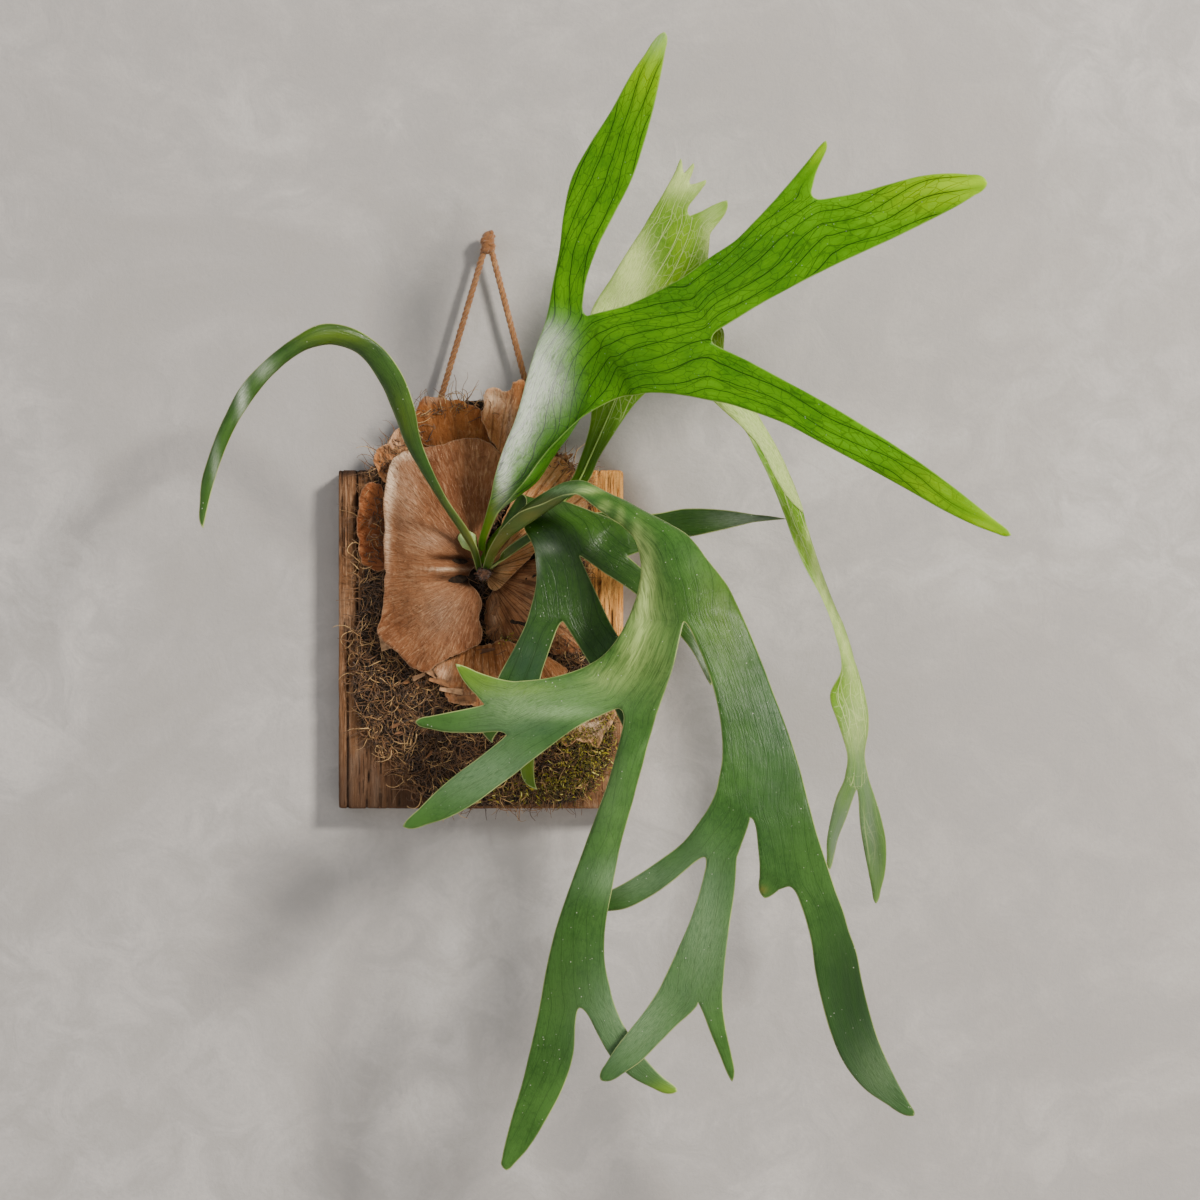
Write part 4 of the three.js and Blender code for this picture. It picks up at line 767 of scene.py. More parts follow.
GRAIN = 2.6  # mm between the points of a blade
STALK_THICK, BLADE_THICK, THINS_OVER = 3.2, 1.2, 45
EDGE_ROUND = 1.4  # mm over which a blade thins to its margin
BUD = seen(3, 61, 49)
TIP_ROWS = np.linspace(0, 1, 9)[1:-1]
POINT_ROUNDS, UV_ROUNDS = 6, 70
UV_SCALE, BROAD_SCALE = 0.1, 0.01
TINTS = ("bloom_and_highlight", "lime", "deep", "pale_ridge_and_highlight", "brown", "painted_shade_tone")


class Track:
    """A smooth curve through points, by place along them."""

    def __init__(self, places):
        self.p = [np.asarray(p, dtype=float) for p in places]

    def at(self, place):
        p = self.p
        last = len(p) - 1
        i = int(min(max(math.floor(place), 0), last - 1))
        t = place - i
        a, b = p[i], p[i + 1]
        before = p[i - 1] if i > 0 else 2 * a - b
        after = p[i + 2] if i + 2 <= last else 2 * b - a
        steps = ((before, a), (a, b), (b, after))
        d0, d1, d2 = (max(np.sum((v - u) ** 2), 1e-8) ** 0.25 for u, v in steps)
        start = ((a - before) / d0 - (b - before) / (d0 + d1) + (b - a) / d1) * d1
        end = ((b - a) / d1 - (after - a) / (d1 + d2) + (after - b) / d2) * d1
        square, cube = t * t, t * t * t
        return (a * (2 * cube - 3 * square + 1) + b * (3 * square - 2 * cube)
                + start * (cube - 2 * square + t) + end * (cube - square))

    def heading(self, place):
        last = len(self.p) - 1
        low, high = max(place - 0.01, 0), min(place + 0.01, last)
        return unit(self.at(high) - self.at(low))


def across(section, u):
    """The point a share u of the way over a section that bends through its middle."""
    a, m, b = section
    return a * (2 * (u - 0.5) * (u - 1)) + m * (-4 * u * (u - 1)) + b * (2 * u * (u - 0.5))


def read_section(n):
    left, right = seen(*n[0:3]), seen(*n[3:6])
    return [left, seen(*n[6:9]) if len(n) > 6 else (left + right) / 2, right]


class Leaf:
    """A blade's surface, grown strip by strip along its stations, each branch from its fork."""

    def __init__(self, strips):
        self.strips = strips
        self.points, self.triangles, self.uv, self.width = [], [], [], []
        self.add_strip("", None, 0.0, 0.0)
        self.points, self.triangles = np.array(self.points), np.array(self.triangles)
        self.uv, self.width = np.array(self.uv), np.array(self.width)

    def add_point(self, point, u, v, width):
        self.points.append(point)
        self.uv.append((u, v))
        self.width.append(width)
        return len(self.points) - 1

    def add_row(self, section, middle, v):
        width = np.linalg.norm(section[1] - section[0]) + np.linalg.norm(section[2] - section[1])
        count = int(max(2, round(width / GRAIN)))
        shares = [i / count for i in range(count + 1)]
        return [self.add_point(across(section, u), middle + width * (u - 0.5), v, width) for u in shares]

    def join(self, below, above):
        i = j = 0
        m, n = len(below) - 1, len(above) - 1
        while i < m or j < n:
            if j >= n or (i < m and (i + 1) / max(m, 1) <= (j + 1) / max(n, 1)):
                self.triangles.append((below[i], below[i + 1], above[j]))
                i += 1
            else:
                self.triangles.append((below[i], above[j + 1], above[j]))
                j += 1

    def track(self, sections, side, start):
        """The place and the heading along one side (0 left, 1 middle, 2 right) of a strip."""
        places = [s[side] for s in sections]
        shift = 0
        if start is not None and side == start["inner"]:
            if len(places) > 2:
                places.pop(0)
                shift = -1
        elif start is not None and start["before"][side] is not None:
            places.insert(0, start["before"][side])
            shift = 1
        track = Track(places)
        return (lambda s: track.at(s + shift)), (lambda s: track.heading(s + shift))

    def add_strip(self, path, start, middle, v):
        rows, end = self.strips[path]
        sections = [read_section(n) for n in rows]
        if start is not None:
            sections.insert(0, start["section"])
        fork = self.read_fork(end) if len(end) == 9 else None
        if fork:
            sections.append(fork["section"])
        tracks = [self.track(sections, side, start) for side in range(3)]
        row = start["row"] if start is not None else self.add_row(sections[0], middle, v)
        for span in range(len(sections) - 1):
            length = np.linalg.norm(sections[span + 1][1] - sections[span][1])
            opening = start is not None and span == 0
            steps = int(max(5 if opening else 2, round(length / GRAIN)))
            for step in range(1, steps + 1):
                t = step / steps
                section = [tracks[side][0](span + t) for side in range(3)]
                if opening:
                    inner = start["inner"]
                    section[inner] = self.round_out(sections[0][inner], sections[1][inner],
                                                    tracks[inner][1](1), t)
                v += length / steps
                if fork and span == len(sections) - 2 and step == steps:
                    width, count = fork["width"], fork["count"]
                    upper = [self.add_point(p, middle + width * (i / count - 0.5), v, width)
                             for i, p in enumerate(fork["points"])]
                else:
                    upper = self.add_row(section, middle, v)
                self.join(row, upper)
                row = upper
        if fork:
            self.add_branches(path, sections[-2], fork, row, middle, v)
        else:
            self.add_tip(end, sections[-1], tracks, len(sections) - 1, row, middle, v)

    @staticmethod
    def round_out(start, end, heading, t):
        """A place on the quarter round by which a branch's inner margin leaves the sinus."""
        along = heading * (end - start).dot(heading)
        corner = end - along
        angle = t * math.pi / 2
        return start + (corner - start) * math.sin(angle) + (end - corner) * (1 - math.cos(angle))

    @staticmethod
    def read_fork(n):
        a, sinus, b = seen(*n[0:3]), seen(*n[3:6]), seen(*n[6:9])
        left, right = np.linalg.norm(sinus - a), np.linalg.norm(b - sinus)
        count = int(max(4, round((left + right) / GRAIN)))
        at = int(min(max(round(left / (left + right) * count), 2), count - 2))
        share = at / count

        def place(u):
            if u < share:
                return a + (sinus - a) * u / share
            return sinus + (b - sinus) * (u - share) / (1 - share)

        points = [place(i / count) for i in range(count + 1)]
        return {"section": [a, place(0.5), b], "points": points, "at": at, "share": share,
                "place": place, "sinus": sinus, "count": count, "width": left + right}

    def add_branches(self, path, before, fork, row, middle, v):
        a, _, b = fork["section"]
        share, place, width, at = fork["share"], fork["place"], fork["width"], fork["at"]
        self.add_strip(path + "L", {
            "section": [a, place(share / 2), fork["sinus"]], "row": row[:at + 1], "inner": 2,
            "before": [before[0], before[0] + (before[1] - before[0]) * share, None],
        }, middle - width * (1 - share) / 2, v)
        self.add_strip(path + "R", {
            "section": [fork["sinus"], place((1 + share) / 2), b], "row": row[at:], "inner": 0,
            "before": [None, before[1] + (before[2] - before[1]) * share, before[2]],
        }, middle + width * share / 2, v)

    def add_tip(self, end, section, tracks, last, row, centre, v):
        tip, blunt = seen(*end[:3]), end[3] if len(end) > 3 else 0.8
        middle = tracks[1][1](last)
        length = np.linalg.norm(tip - section[1])
        for t in TIP_ROWS:
            sides = []
            for side, begin in enumerate(section):
                heading = unit(tracks[side][1](last) + middle)
                corner = begin + heading * (tip - begin).dot(heading) * blunt
                sides.append(begin * (1 - t) ** 2 + corner * 2 * t * (1 - t) + tip * t * t)
            upper = self.add_row(sides, centre, v + length * t)
            self.join(row, upper)
            row = upper
        self.join(row, [self.add_point(tip, centre, v + length, 0.0)])


def tinted(points, spots):
    """How far each point takes a tint. A spot is (x, z, half width, half height, strength)."""
    k = 1 + points[:, 1] / EYE_FAR
    x = EYE_X + (points[:, 0] - EYE_X) / k
    z = EYE_Z + (points[:, 2] - EYE_Z) / k
    total = np.zeros(len(points))
    for cx, cz, wide, tall, strength in spots:
        total += strength * np.exp(-(((x - cx) / wide) ** 2) - ((z - cz) / tall) ** 2)
    return np.clip(total, 0, 1)


def build_frond(name, strips, material, slot, tints, seed, ripple=0.7):
    leaf = Leaf(strips)
    rim = open_edges(leaf.triangles)
    points = even_out(leaf.points, leaf.triangles, rim, POINT_ROUNDS, along_rim=False)
    uv = even_out(leaf.uv, leaf.triangles, rim, UV_ROUNDS) * UV_SCALE
    far = np.linalg.norm(points - BUD, axis=1)
    waves = np.array([wobble(p, 26, seed) + 0.4 * wobble(p, 9, seed + 3) for p in points])
    waves = waves * ripple * smooth(30, 90, far)
    points = points + vertex_normals(points, leaf.triangles) * waves[:, None]
    margin = distance_to_rim(points, rim)
    thick = BLADE_THICK + (STALK_THICK - BLADE_THICK) * np.exp(-far / THINS_OVER)
    rounding = np.sqrt(np.clip(1 - (1 - np.clip(margin / EDGE_ROUND, 0, 1)) ** 2, 0.06, 1))
    skin, faces = skin_sheet(points, leaf.triangles, thick * rounding, rim)
    values = {"rim": twice(margin), "broad": twice(leaf.width * BROAD_SCALE)}
    for tint in TINTS:
        values[tint] = twice(tinted(points, tints.get(tint, ())))
    own(make_mesh("leaf_" + name, skin, faces, material, values, twice(uv)), slot, name)


# Each frond's strips, material, finish and tints. A tint is a list of spots, as tinted() takes them.
# The spots paint light too: the silvery hairs and pale ridges carry painted highlights, and the
# darkening and the dim bluish tone are painted shade and shadow.
FRONDS = {
    "frond_up": (UP, BRIGHT, "bright_leaf", {
        "bloom_and_highlight": [(34, 192, 14, 28, 1.0), (26, 165, 10, 28, 1.0), (16, 132, 6, 26, 0.9),
            (52, 225, 14, 14, 0.5), (56, 190, 12, 20, 0.4), (40, 200, 10, 14, 0.6),
            (130, 455, 14, 14, 0.2)],
        "lime": [(128, 440, 26, 36, 0.8), (372, 345, 34, 14, 1.0), (330, 335, 40, 20, 0.5),
            (255, 368, 14, 14, 0.7), (388, 86, 26, 16, 0.9), (340, 112, 40, 20, 0.4)],
        "deep": [(120, 205, 40, 24, 0.25), (50, 140, 14, 24, 0.35)],
        "brown": [(6, 88, 10, 22, 0.6), (14, 108, 8, 16, 0.3)],
    }),
    "frond_back": (BACK, SILVER, "bright_leaf", {
        "bloom_and_highlight": [(112, 275, 14, 34, 0.95), (92, 235, 14, 24, 1.0), (90, 215, 14, 14, 1.0),
            (172, 300, 8, 26, 0.5), (150, 345, 18, 14, 0.6), (172, 184, 10, 12, 0.8),
            (186, 173, 12, 12, 0.9), (200, 162, 10, 12, 0.9), (248.5, 60, 2, 10, 0.4),
            (252, 46, 2.5, 11, 0.5), (256.5, 33, 3, 11, 0.5), (262, 20, 3, 11, 0.5),
            (267, 8, 3.5, 11, 0.5), (272, -6, 4, 11, 0.5), (277, -22, 5, 12, 0.35),
            (282, -46, 9, 20, 0.3), (280, -72, 9, 14, 0.2), (244, 80, 1.5, 10, 0.5)],
        "pale_ridge_and_highlight": [(150, 345, 26, 14, 0.7), (108, 285, 10, 26, 0.4), (180, 322, 8, 8, 0.5)],
        "deep": [(60, 110, 40, 22, 0.9), (85, 140, 20, 36, 0.9), (300, -150, 8, 50, 0.6),
            (214, 128, 2, 12, 0.35), (221, 112, 2, 12, 0.35), (227, 98, 2, 12, 0.35),
            (232, 85, 2, 12, 0.35), (237, 72, 2, 12, 0.35), (243, 57, 2, 12, 0.35),
            (252, 28, 3, 16, 0.4), (262, 40, 4, 14, 0.3), (266, -25, 3, 12, 0.6)],
        "painted_shade_tone": [(292, -150, 18, 56, 1.0), (264, -145, 12, 40, 1.0), (282, -80, 16, 36, 0.5)],
        "brown": [(180, 230, 7, 12, 0.5)],
        "lime": [(240, 95, 16, 50, 0.1), (140, 262, 16, 14, 0.2), (148, 290, 10, 20, 0.2)],
    }),
    "frond_left": (LEFT, DEEP, "deep_leaf", {
        "bloom_and_highlight": [(-180, 184, 4, 22, 0.6), (-165, 204, 8, 8, 0.4), (-200, 130, 3, 20, 0.3)],
        "deep": [(-110, 225, 40, 10, 0.5), (-60, 160, 20, 30, 0.35)],
        "lime": [(-110, 227, 30, 7, 0.15), (-60, 165, 12, 20, 0.1)],
        "brown": [(-10, 75, 12, 16, 0.45), (-28, 100, 12, 16, 0.2)],
    }),
    "frond_front": (FRONT, GREY, "grey_leaf", {
        "bloom_and_highlight": [(62, 112, 18, 3, 0.7), (50, -45, 50, 14, 0.3), (0, -100, 44, 24, 0.35),
            (115, -285, 30, 34, 0.5), (165, -215, 22, 50, 0.4), (110, -180, 30, 14, 0.4),
            (300, -325, 22, 26, 0.25), (60, -55, 26, 5, 0.5), (18, -50, 26, 16, 0.3),
            (95, -110, 16, 50, 0.15)],
        "pale_ridge_and_highlight": [(80, 111, 10, 2.5, 0.7), (92, 99, 5, 4, 0.5), (104, 90, 3, 8, 0.5),
            (116, 72, 4, 12, 0.9), (123, 48, 6, 22, 1.0), (120, 18, 7, 22, 0.8), (112, -8, 9, 18, 0.5),
            (95, -30, 18, 12, 0.3), (132, 0, 12, 40, 0.2)],
        "lime": [(-16, -20, 12, 9, 0.25), (0, -32, 16, 8, 0.2), (30, -38, 26, 6, 0.15),
            (140, -340, 16, 8, 0.3), (180, 20, 22, 40, 0.1)],
        "deep": [(280, -270, 34, 80, 0.8), (235, -120, 34, 70, 0.3), (60, -260, 24, 70, 0.3),
            (40, 96, 26, 14, 0.5), (195, -20, 22, 60, 0.4), (150, 0, 10, 40, 0.3),
            (300, -330, 20, 30, 0.3)],
        "brown": [(14, 72, 16, 18, 0.75), (36, 93, 14, 7, 0.5), (54, 103, 12, 5, 0.4),
            (210, -188, 4, 3, 0.6)],
        "painted_shade_tone": [(5, -100, 50, 26, 0.8), (110, -285, 40, 50, 0.8), (165, -205, 26, 60, 0.7),
            (110, -180, 40, 16, 0.7), (290, -300, 40, 80, 0.8), (45, 100, 34, 16, 0.6),
            (220, -60, 24, 90, 0.4), (40, -66, 40, 10, 0.5)],
    }),
    "frond_middle": (MIDDLE, DEEP, "deep_leaf", {
        "bloom_and_highlight": [(40, 56, 3, 9, 0.5), (50, 68, 8, 4, 0.25), (165, -15, 8, 20, 0.4)],
        "deep": [(80, 45, 26, 30, 0.15)],
        "painted_shade_tone": [(35, -25, 22, 34, 0.7), (100, -30, 18, 30, 0.4)],
        "lime": [(38, -95, 10, 14, 0.35)],
    }),
    "frond_low": (LOW, DEEP, "deep_leaf", {
        "bloom_and_highlight": [(200, 90, 24, 8, 0.3)],
        "brown": [(22, 64, 10, 8, 0.3)],
        "deep": [(140, 95, 60, 26, 0.45)],
    }),
    "frond_young": (YOUNG, YOUNG_GREEN, "grey_leaf", {
        "bloom_and_highlight": [(-12, 76, 6, 6, 0.4)],
    }),
}

# ---- the mound of roots and the shields on it ----

BOARD_THICK, GAP = 25.0, 0.3
MOUND_MIDDLE, MOUND_RIM, MOUND_RISE = (-4, 25), 4, 6
MOUND_RINGS, MOUND_GRAIN, SHIELD_GRAIN = 44, 2.6, 2.0
SHIELD_THICK, SHIELD_LAYER, SHIELD_CLEAR, SEAT_REACH = 0.9, 3.0, 1.1, 14
BUD_PLACE, FIBRE_SCALE = (2.0, 50.0), 0.01  # the shields' fibres run from the bud


def closed_curve(outline, count):
    """Evenly spaced (x, z) points of the smooth closed curve through an outline."""
    n = len(outline)
    track = Track([outline[i % n] for i in range(-2, n + 3)])
    loop = np.array([track.at(2 + s) for s in np.linspace(0, n, n * 24, endpoint=False)])
    loop = np.vstack([loop, loop[:1]])
    run = np.concatenate([[0], np.cumsum(np.linalg.norm(np.diff(loop, axis=0), axis=1))])
    wanted = np.linspace(0, run[-1], count, endpoint=False)
    return np.stack([np.interp(wanted, run, loop[:, k]) for k in (0, 1)], axis=1)


_x, _z = (closed_curve(MOUND_OUTLINE, 360) - MOUND_MIDDLE).T
_order = np.argsort(np.arctan2(_z, _x))
REACH_ANGLES, REACHES = np.arctan2(_z, _x)[_order], np.hypot(_z, _x)[_order]


def mound_share(x, z):
    """0 at the mound's middle and 1 at its outline."""
    dx, dz = x - MOUND_MIDDLE[0], z - MOUND_MIDDLE[1]
    return math.hypot(dx, dz) / np.interp(math.atan2(dz, dx), REACH_ANGLES, REACHES, period=TAU)


def mound_face(x, z):
    """How far the mound's face stands out of the wall at (x, z)."""
    rise = MOUND_RISE
    for cx, cz, wide, tall, height in SWELLINGS:
        rise += height * math.exp(-(((x - cx) / wide) ** 2) - ((z - cz) / tall) ** 2)
    share = min(1.0, mound_share(x, z))
    return BOARD_THICK + GAP + MOUND_RIM + rise * math.sqrt(1 - share ** 3)


def ring_sheet(outline, middle, rings, spacing, ragged=0.0, seed=0.0):
    """Places (x, z, share of the way to the rim) and triangles of a sheet in rings round its middle."""
    length = np.sum(np.linalg.norm(np.diff(closed_curve(outline, 60), axis=0), axis=1))
    sides = int(length / spacing)
    curve = closed_curve(outline, sides)
    middle = np.array(middle, dtype=float)
    places = [(*middle, 0.0)]
    for ring in range(1, rings + 1):
        share = ring / rings
        for p in curve:
            torn = 0.0
            if ragged:
                q = (p[0], seed * 7, p[1])
                torn = wobble(q, 7, seed) + 0.7 * wobble(q, 2.6, seed + 5)
                torn -= 1.6 * smooth(0.35, 0.6, wobble(q, 10, seed + 9))
            reach = np.linalg.norm(p - middle)
            scale = share * (1 + ragged * torn / reach * smooth(0.5, 1.0, share))
            places.append((*(middle + (p - middle) * scale), share))
    triangles = []
    at = lambda ring, side: 1 + (ring - 1) * sides + side % sides
    for side in range(sides):
        triangles.append((0, at(1, side), at(1, side + 1)))
        for ring in range(1, rings):
            a, b = at(ring, side), at(ring, side + 1)
            c, d = at(ring + 1, side), at(ring + 1, side + 1)
            triangles += [(a, c, d), (a, d, b)]
    return np.array(places), np.array(triangles)


# Folds of a shield: from (x, z) to (x, z), half width, and depth in mm (a valley is below 0).
FOLDS = {
    "main": [(-4, 58, -44, 61, 3.4, -7.0), (-6, 52, -36, 52, 2.6, 3.0), (-2, 46, -38, 42, 3.6, -7.0),
        (-4, 66, -22, 84, 6.0, 3.0), (-66, 40, -44, 24, 7.0, 1.5), (-58, 0, -36, 12, 6.0, -1.2)],
    "right_upper": [(8, 46, 50, 70, 3.0, 2.5), (8, 52, 44, 80, 3.0, -2.5), (8, 60, 34, 88, 3, 2.0)],
    "right_lower": [(10, 32, 10, 4, 5.5, 6.0), (18, 30, 70, 34, 4.0, 3.5), (18, 16, 60, 0, 4.0, -3.5),
        (18, 38, 60, 56, 3, -3.0), (18, 24, 60, 18, 3.0, -2.5)],
    "back_top": [(-20, 140, -34, 178, 4.0, 2.0), (-6, 140, -12, 176, 3.5, -2.0)],
    "top_right": [(20, 140, 26, 192, 2.5, 3.5), (12, 150, 8, 186, 3.0, -2.5)],
    "upper_right": [(34, 88, 60, 126, 3.0, 2.5), (34, 100, 50, 130, 3.0, -2.0)],
    "bottom": [(0, -8, -24, -40, 3.5, 2.5), (10, -10, 6, -52, 3.5, -2.5), (20, -14, 40, -50, 4, 2.5)],
    "left_small": [(-74, 60, -88, 70, 3.0, 2.0), (-72, 90, -88, 108, 3.0, 2.0)],
    "left_upper": [(-62, 128, -74, 140, 2.5, 2.0)],
    "bottom_right": [(66, -68, 92, -62, 2.5, 2.5)],
}

def fold_height(x, z, folds):
    total = 0.0
    for x0, z0, x1, z1, wide, depth in folds:
        dx, dz = x1 - x0, z1 - z0
        t = ((x - x0) * dx + (z - z0) * dz) / (dx * dx + dz * dz)
        near = min(max(t, 0.0), 1.0)
        off = math.hypot(x - x0 - dx * near, z - z0 - dz * near)
        fade = math.sin(math.pi * min(max(0.12 + 0.85 * near, 0), 1)) ** 0.7
        total += depth * fade * math.exp(-((off / wide) ** 2))
    return total


def build_shield(name, outline, middle, layer, rim, seat, rings, material, seed, curl, ragged,
                 slot="dry_shield", dark=(), pale=(), wrinkle=1.0):
    """A sheet that follows the mound. It may be seated at (x, z, depth) and its lip curls out."""
    places, triangles = ring_sheet(outline, middle, rings, SHIELD_GRAIN, ragged, seed)
    lift = SHIELD_CLEAR + SHIELD_LAYER * layer
    points = []
    for x, z, share in places:
        out = mound_face(x, z) + lift + rim * share ** 4
        if seat:
            out -= seat[2] * math.exp(-((x - seat[0]) ** 2 + (z - seat[1]) ** 2) / SEAT_REACH ** 2)
        q = (x, 0, z)
        settle = 1.0 if layer else 0.55
        out += settle * fold_height(x, z, FOLDS.get(name, ()))
        out += wrinkle * (0.9 * wobble(q, 17, seed) + 0.4 * wobble(q, 6, seed + 2))
        lip = smooth(0.72, 1.0, share) * (0.4 + 0.6 * wobble(q, 11, seed + 6))
        out += curl * max(lip, -0.15)
        points.append(seen(x, z, out))
    points = np.array(points)
    open_rim = open_edges(triangles)
    margin = distance_to_rim(points, open_rim)
    thick = SHIELD_THICK * np.clip(margin / 1.2, 0.3, 1)
    skin, faces = skin_sheet(points, triangles, thick, open_rim)
    dx, dz = points[:, 0] - BUD_PLACE[0], points[:, 2] - BUD_PLACE[1]
    facing = math.atan2(middle[1] - BUD_PLACE[1], middle[0] - BUD_PLACE[0])
    turned = np.mod(np.arctan2(dz, dx) - facing + math.pi, TAU) - math.pi
    uv = np.stack([turned, np.hypot(dx, dz) * FIBRE_SCALE], axis=1)
    # the dark spots paint shade and shadow, the pale ones pale felt and painted light
    values = {"rim": margin, "dark": tinted(points, dark), "pale": tinted(points, pale)}
    values = {key: twice(v) for key, v in values.items()}
    sheet = make_mesh("dry_shield_" + name, skin, faces, material, values, twice(uv))
    own(sheet, slot, "shield_" + name)


# A shield's layer counts from the mound outwards, its rim stands that many mm off, and its seat, at
# (x, z, depth), is pressed down. Its rings are the rows of points, and dark and pale are spots.
# Dark spots are painted shade and shadow; pale spots are pale felt and painted light.
SHIELDS = [
    dict(name="back_top", middle=(-20, 160), layer=0, rim=0, seat=None, rings=14,
         material=AMBER, seed=3, curl=1.5, ragged=0.9, slot="amber_shield",
         dark=[(-44, 150, 10, 14, 0.5), (-20, 140, 26, 8, 0.5)],
         pale=[(-38, 180, 10, 3, 0.4)],
         outline=[(-50, 170), (-43, 181.5), (-33, 181), (-20, 180), (-10, 177), (0, 171), (5, 160),
             (10, 148), (5, 138), (-20, 136), (-42, 138), (-49, 150)]),
    dict(name="top_right", middle=(20, 162), layer=1, rim=1.5, seat=(30, 142, 3), rings=14,
         material=TORN, seed=5, curl=3.0, ragged=1.6,
         dark=[(28, 150, 6, 14, 0.4)],
         pale=[(8, 180, 8, 9, 0.7), (22, 160, 6, 16, 0.3)],
         outline=[(0, 166), (1, 176), (3, 187), (9, 189), (16, 186), (21, 187), (25, 197), (31, 194),
             (33, 180), (36, 160), (36, 140), (24, 134), (14, 138), (6, 152)]),
    dict(name="left_upper", middle=(-68, 137), layer=0, rim=2, seat=(-64, 136, 1), rings=9,
         material=TORN, seed=8, curl=3.0, ragged=1.6,
         pale=[(-66, 150, 8, 8, 0.5)],
         outline=[(-79, 128), (-81, 137), (-78, 143), (-70, 147), (-66, 155), (-61, 158), (-56, 150),
             (-57, 138), (-63, 126), (-72, 118), (-76, 122)]),
    dict(name="left_small", middle=(-80, 85), layer=0, rim=1.5, seat=(-72, 80, 0.5), rings=10,
         material=RUST, seed=11, curl=2.5, ragged=1.8, slot="amber_shield",
         # painted shadow under the edge of the main shield
         dark=[(-72, 80, 6, 30, 0.7)],
         outline=[(-92, 105), (-90, 113), (-85, 117), (-76, 116), (-70, 100), (-69, 80), (-69, 62),
             (-73, 52), (-83, 52), (-90, 58), (-93, 75), (-94, 90)]),
    dict(name="right_lower", middle=(36, 20), layer=0, rim=0, seat=None, rings=18,
         material=BARK, seed=14, curl=2.0, ragged=1.4,
         # painted shadow along the fold under the lifted edge of the shield above
         dark=[(10, 37, 5, 4, 0.7), (20, 47, 7, 4, 0.7), (30, 56, 7, 4, 0.6), (40, -6, 26, 5, 0.3),
             (19, 14, 3, 14, 0.5)],
         pale=[(9, 18, 3, 10, 0.35), (46, 24, 14, 20, 0.15)],
         outline=[(3, 4), (2, 14), (3, 24), (5, 32), (12, 39), (22, 48), (32, 56), (44, 62), (58, 62),
             (68, 52), (75, 30), (77, 10), (76, -8), (60, -12), (40, -8), (22, -2), (10, -3)]),
    dict(name="upper_right", middle=(50, 106), layer=1, rim=0.5, seat=(60, 118, 3), rings=16,
         material=CREAM, seed=17, curl=1.5, ragged=1.2,
         dark=[(24, 88, 10, 5, 0.4)],
         outline=[(14, 84), (20, 98), (27, 114), (35, 127), (44, 134), (54, 137), (64, 132), (73, 122),
             (78, 108), (78, 92), (64, 82), (44, 78), (26, 78)]),
    dict(name="right_upper", middle=(36, 66), layer=2, rim=1, seat=(46, 64, 4), rings=18,
         material=CREAM, seed=20, curl=2.0, ragged=1.1,
         dark=[(8, 50, 5, 8, 0.6), (18, 44, 14, 3, 0.35)],
         outline=[(4, 46), (5, 56), (7, 66), (11, 76), (18, 86), (30, 92), (44, 94), (58, 90), (66, 78),
             (66, 64), (54, 68), (42, 66), (32, 57), (20, 45), (10, 36), (5, 38)]),
    dict(name="bottom", middle=(5, -25), layer=1, rim=1, seat=(5, -50, 4), rings=20,
         material=TORN, seed=23, curl=3.5, ragged=2.6,
         dark=[(6, -3, 20, 3, 0.5), (-18, -30, 14, 3, 0.5)],
         pale=[(-30, -24, 8, 8, 0.4), (-14, -44, 10, 6, 0.3)],
         outline=[(-37, -21), (-26, -14.5), (-12, -8), (0, -4), (14, -1), (30, -6), (46, -12),
             (62, -22), (64, -40), (50, -54), (30, -60), (10, -56), (-8, -51), (-20, -49), (-28, -41),
             (-33, -29)]),
    dict(name="bottom_right", middle=(80, -66), layer=0, rim=2, seat=(70, -70, 0.4), rings=9,
         material=CREAM, seed=26, curl=3.5, ragged=2.2,
         # painted sunlight over the whole shield
         pale=[(80, -64, 18, 12, 0.8)],
         outline=[(56, -75), (65, -80), (72, -75), (80, -80), (85, -82), (91, -73), (99, -60),
             (100, -52), (90, -51), (78, -56), (66, -64)]),
    dict(name="main", middle=(-42, 66), layer=3, rim=2.5, seat=(-13, 50, 10), rings=34,
         material=CINNAMON, seed=29, curl=2.0, ragged=0.8, wrinkle=1.3,
         # painted shade in the fold valleys by the bud and in the crack below, and the stalks' painted
         # shadow
         dark=[(-7, 50, 6, 8, 0.8), (-26, 60.5, 16, 2.2, 0.75), (-30, 47.5, 8, 2, 0.5),
             (-20, 44.8, 9, 2.2, 0.7), (-12, 42, 6, 2.5, 0.7), (-1, 20, 2, 18, 0.5),
             (-14, 66, 8, 14, 0.45), (-20, 76, 6, 10, 0.3), (-62, 90, 4, 30, 0.3),
             (-56, 40, 6, 24, 0.15), (-44, -14, 16, 5, 0.2)],
         # the frayed pale rim at the left, and a painted highlight on the fold ridge by the bud
         pale=[(-69, 122, 5, 22, 1.0), (-71, 80, 2.5, 26, 0.6), (-60, 138, 14, 4, 0.7),
             (-28, 52.2, 13, 1.0, 0.8), (-30, 20, 16, 18, 0.2), (-40, 74, 14, 8, 0.2),
             (-55, 110, 8, 26, 0.2)],
         outline=[(12, 141), (4, 148), (-8, 151), (-20, 149), (-33, 145), (-48, 143), (-60, 140),
             (-68, 133), (-72, 118), (-74, 102), (-73, 85), (-74, 65), (-73, 48), (-74, 30), (-76, 15),
             (-79, 5), (-72, -4), (-65, -9), (-58, -17), (-52, -22), (-42, -25), (-35, -20),
             (-20, -12.5), (-10, -8), (-2, -4), (0.5, 5), (-2, 15), (0, 28), (-4, 36), (-9, 42),
             (-9, 49), (-5, 55), (0, 64), (4, 74), (8, 84), (12, 94), (15, 106), (17, 118), (17, 132)]),
]


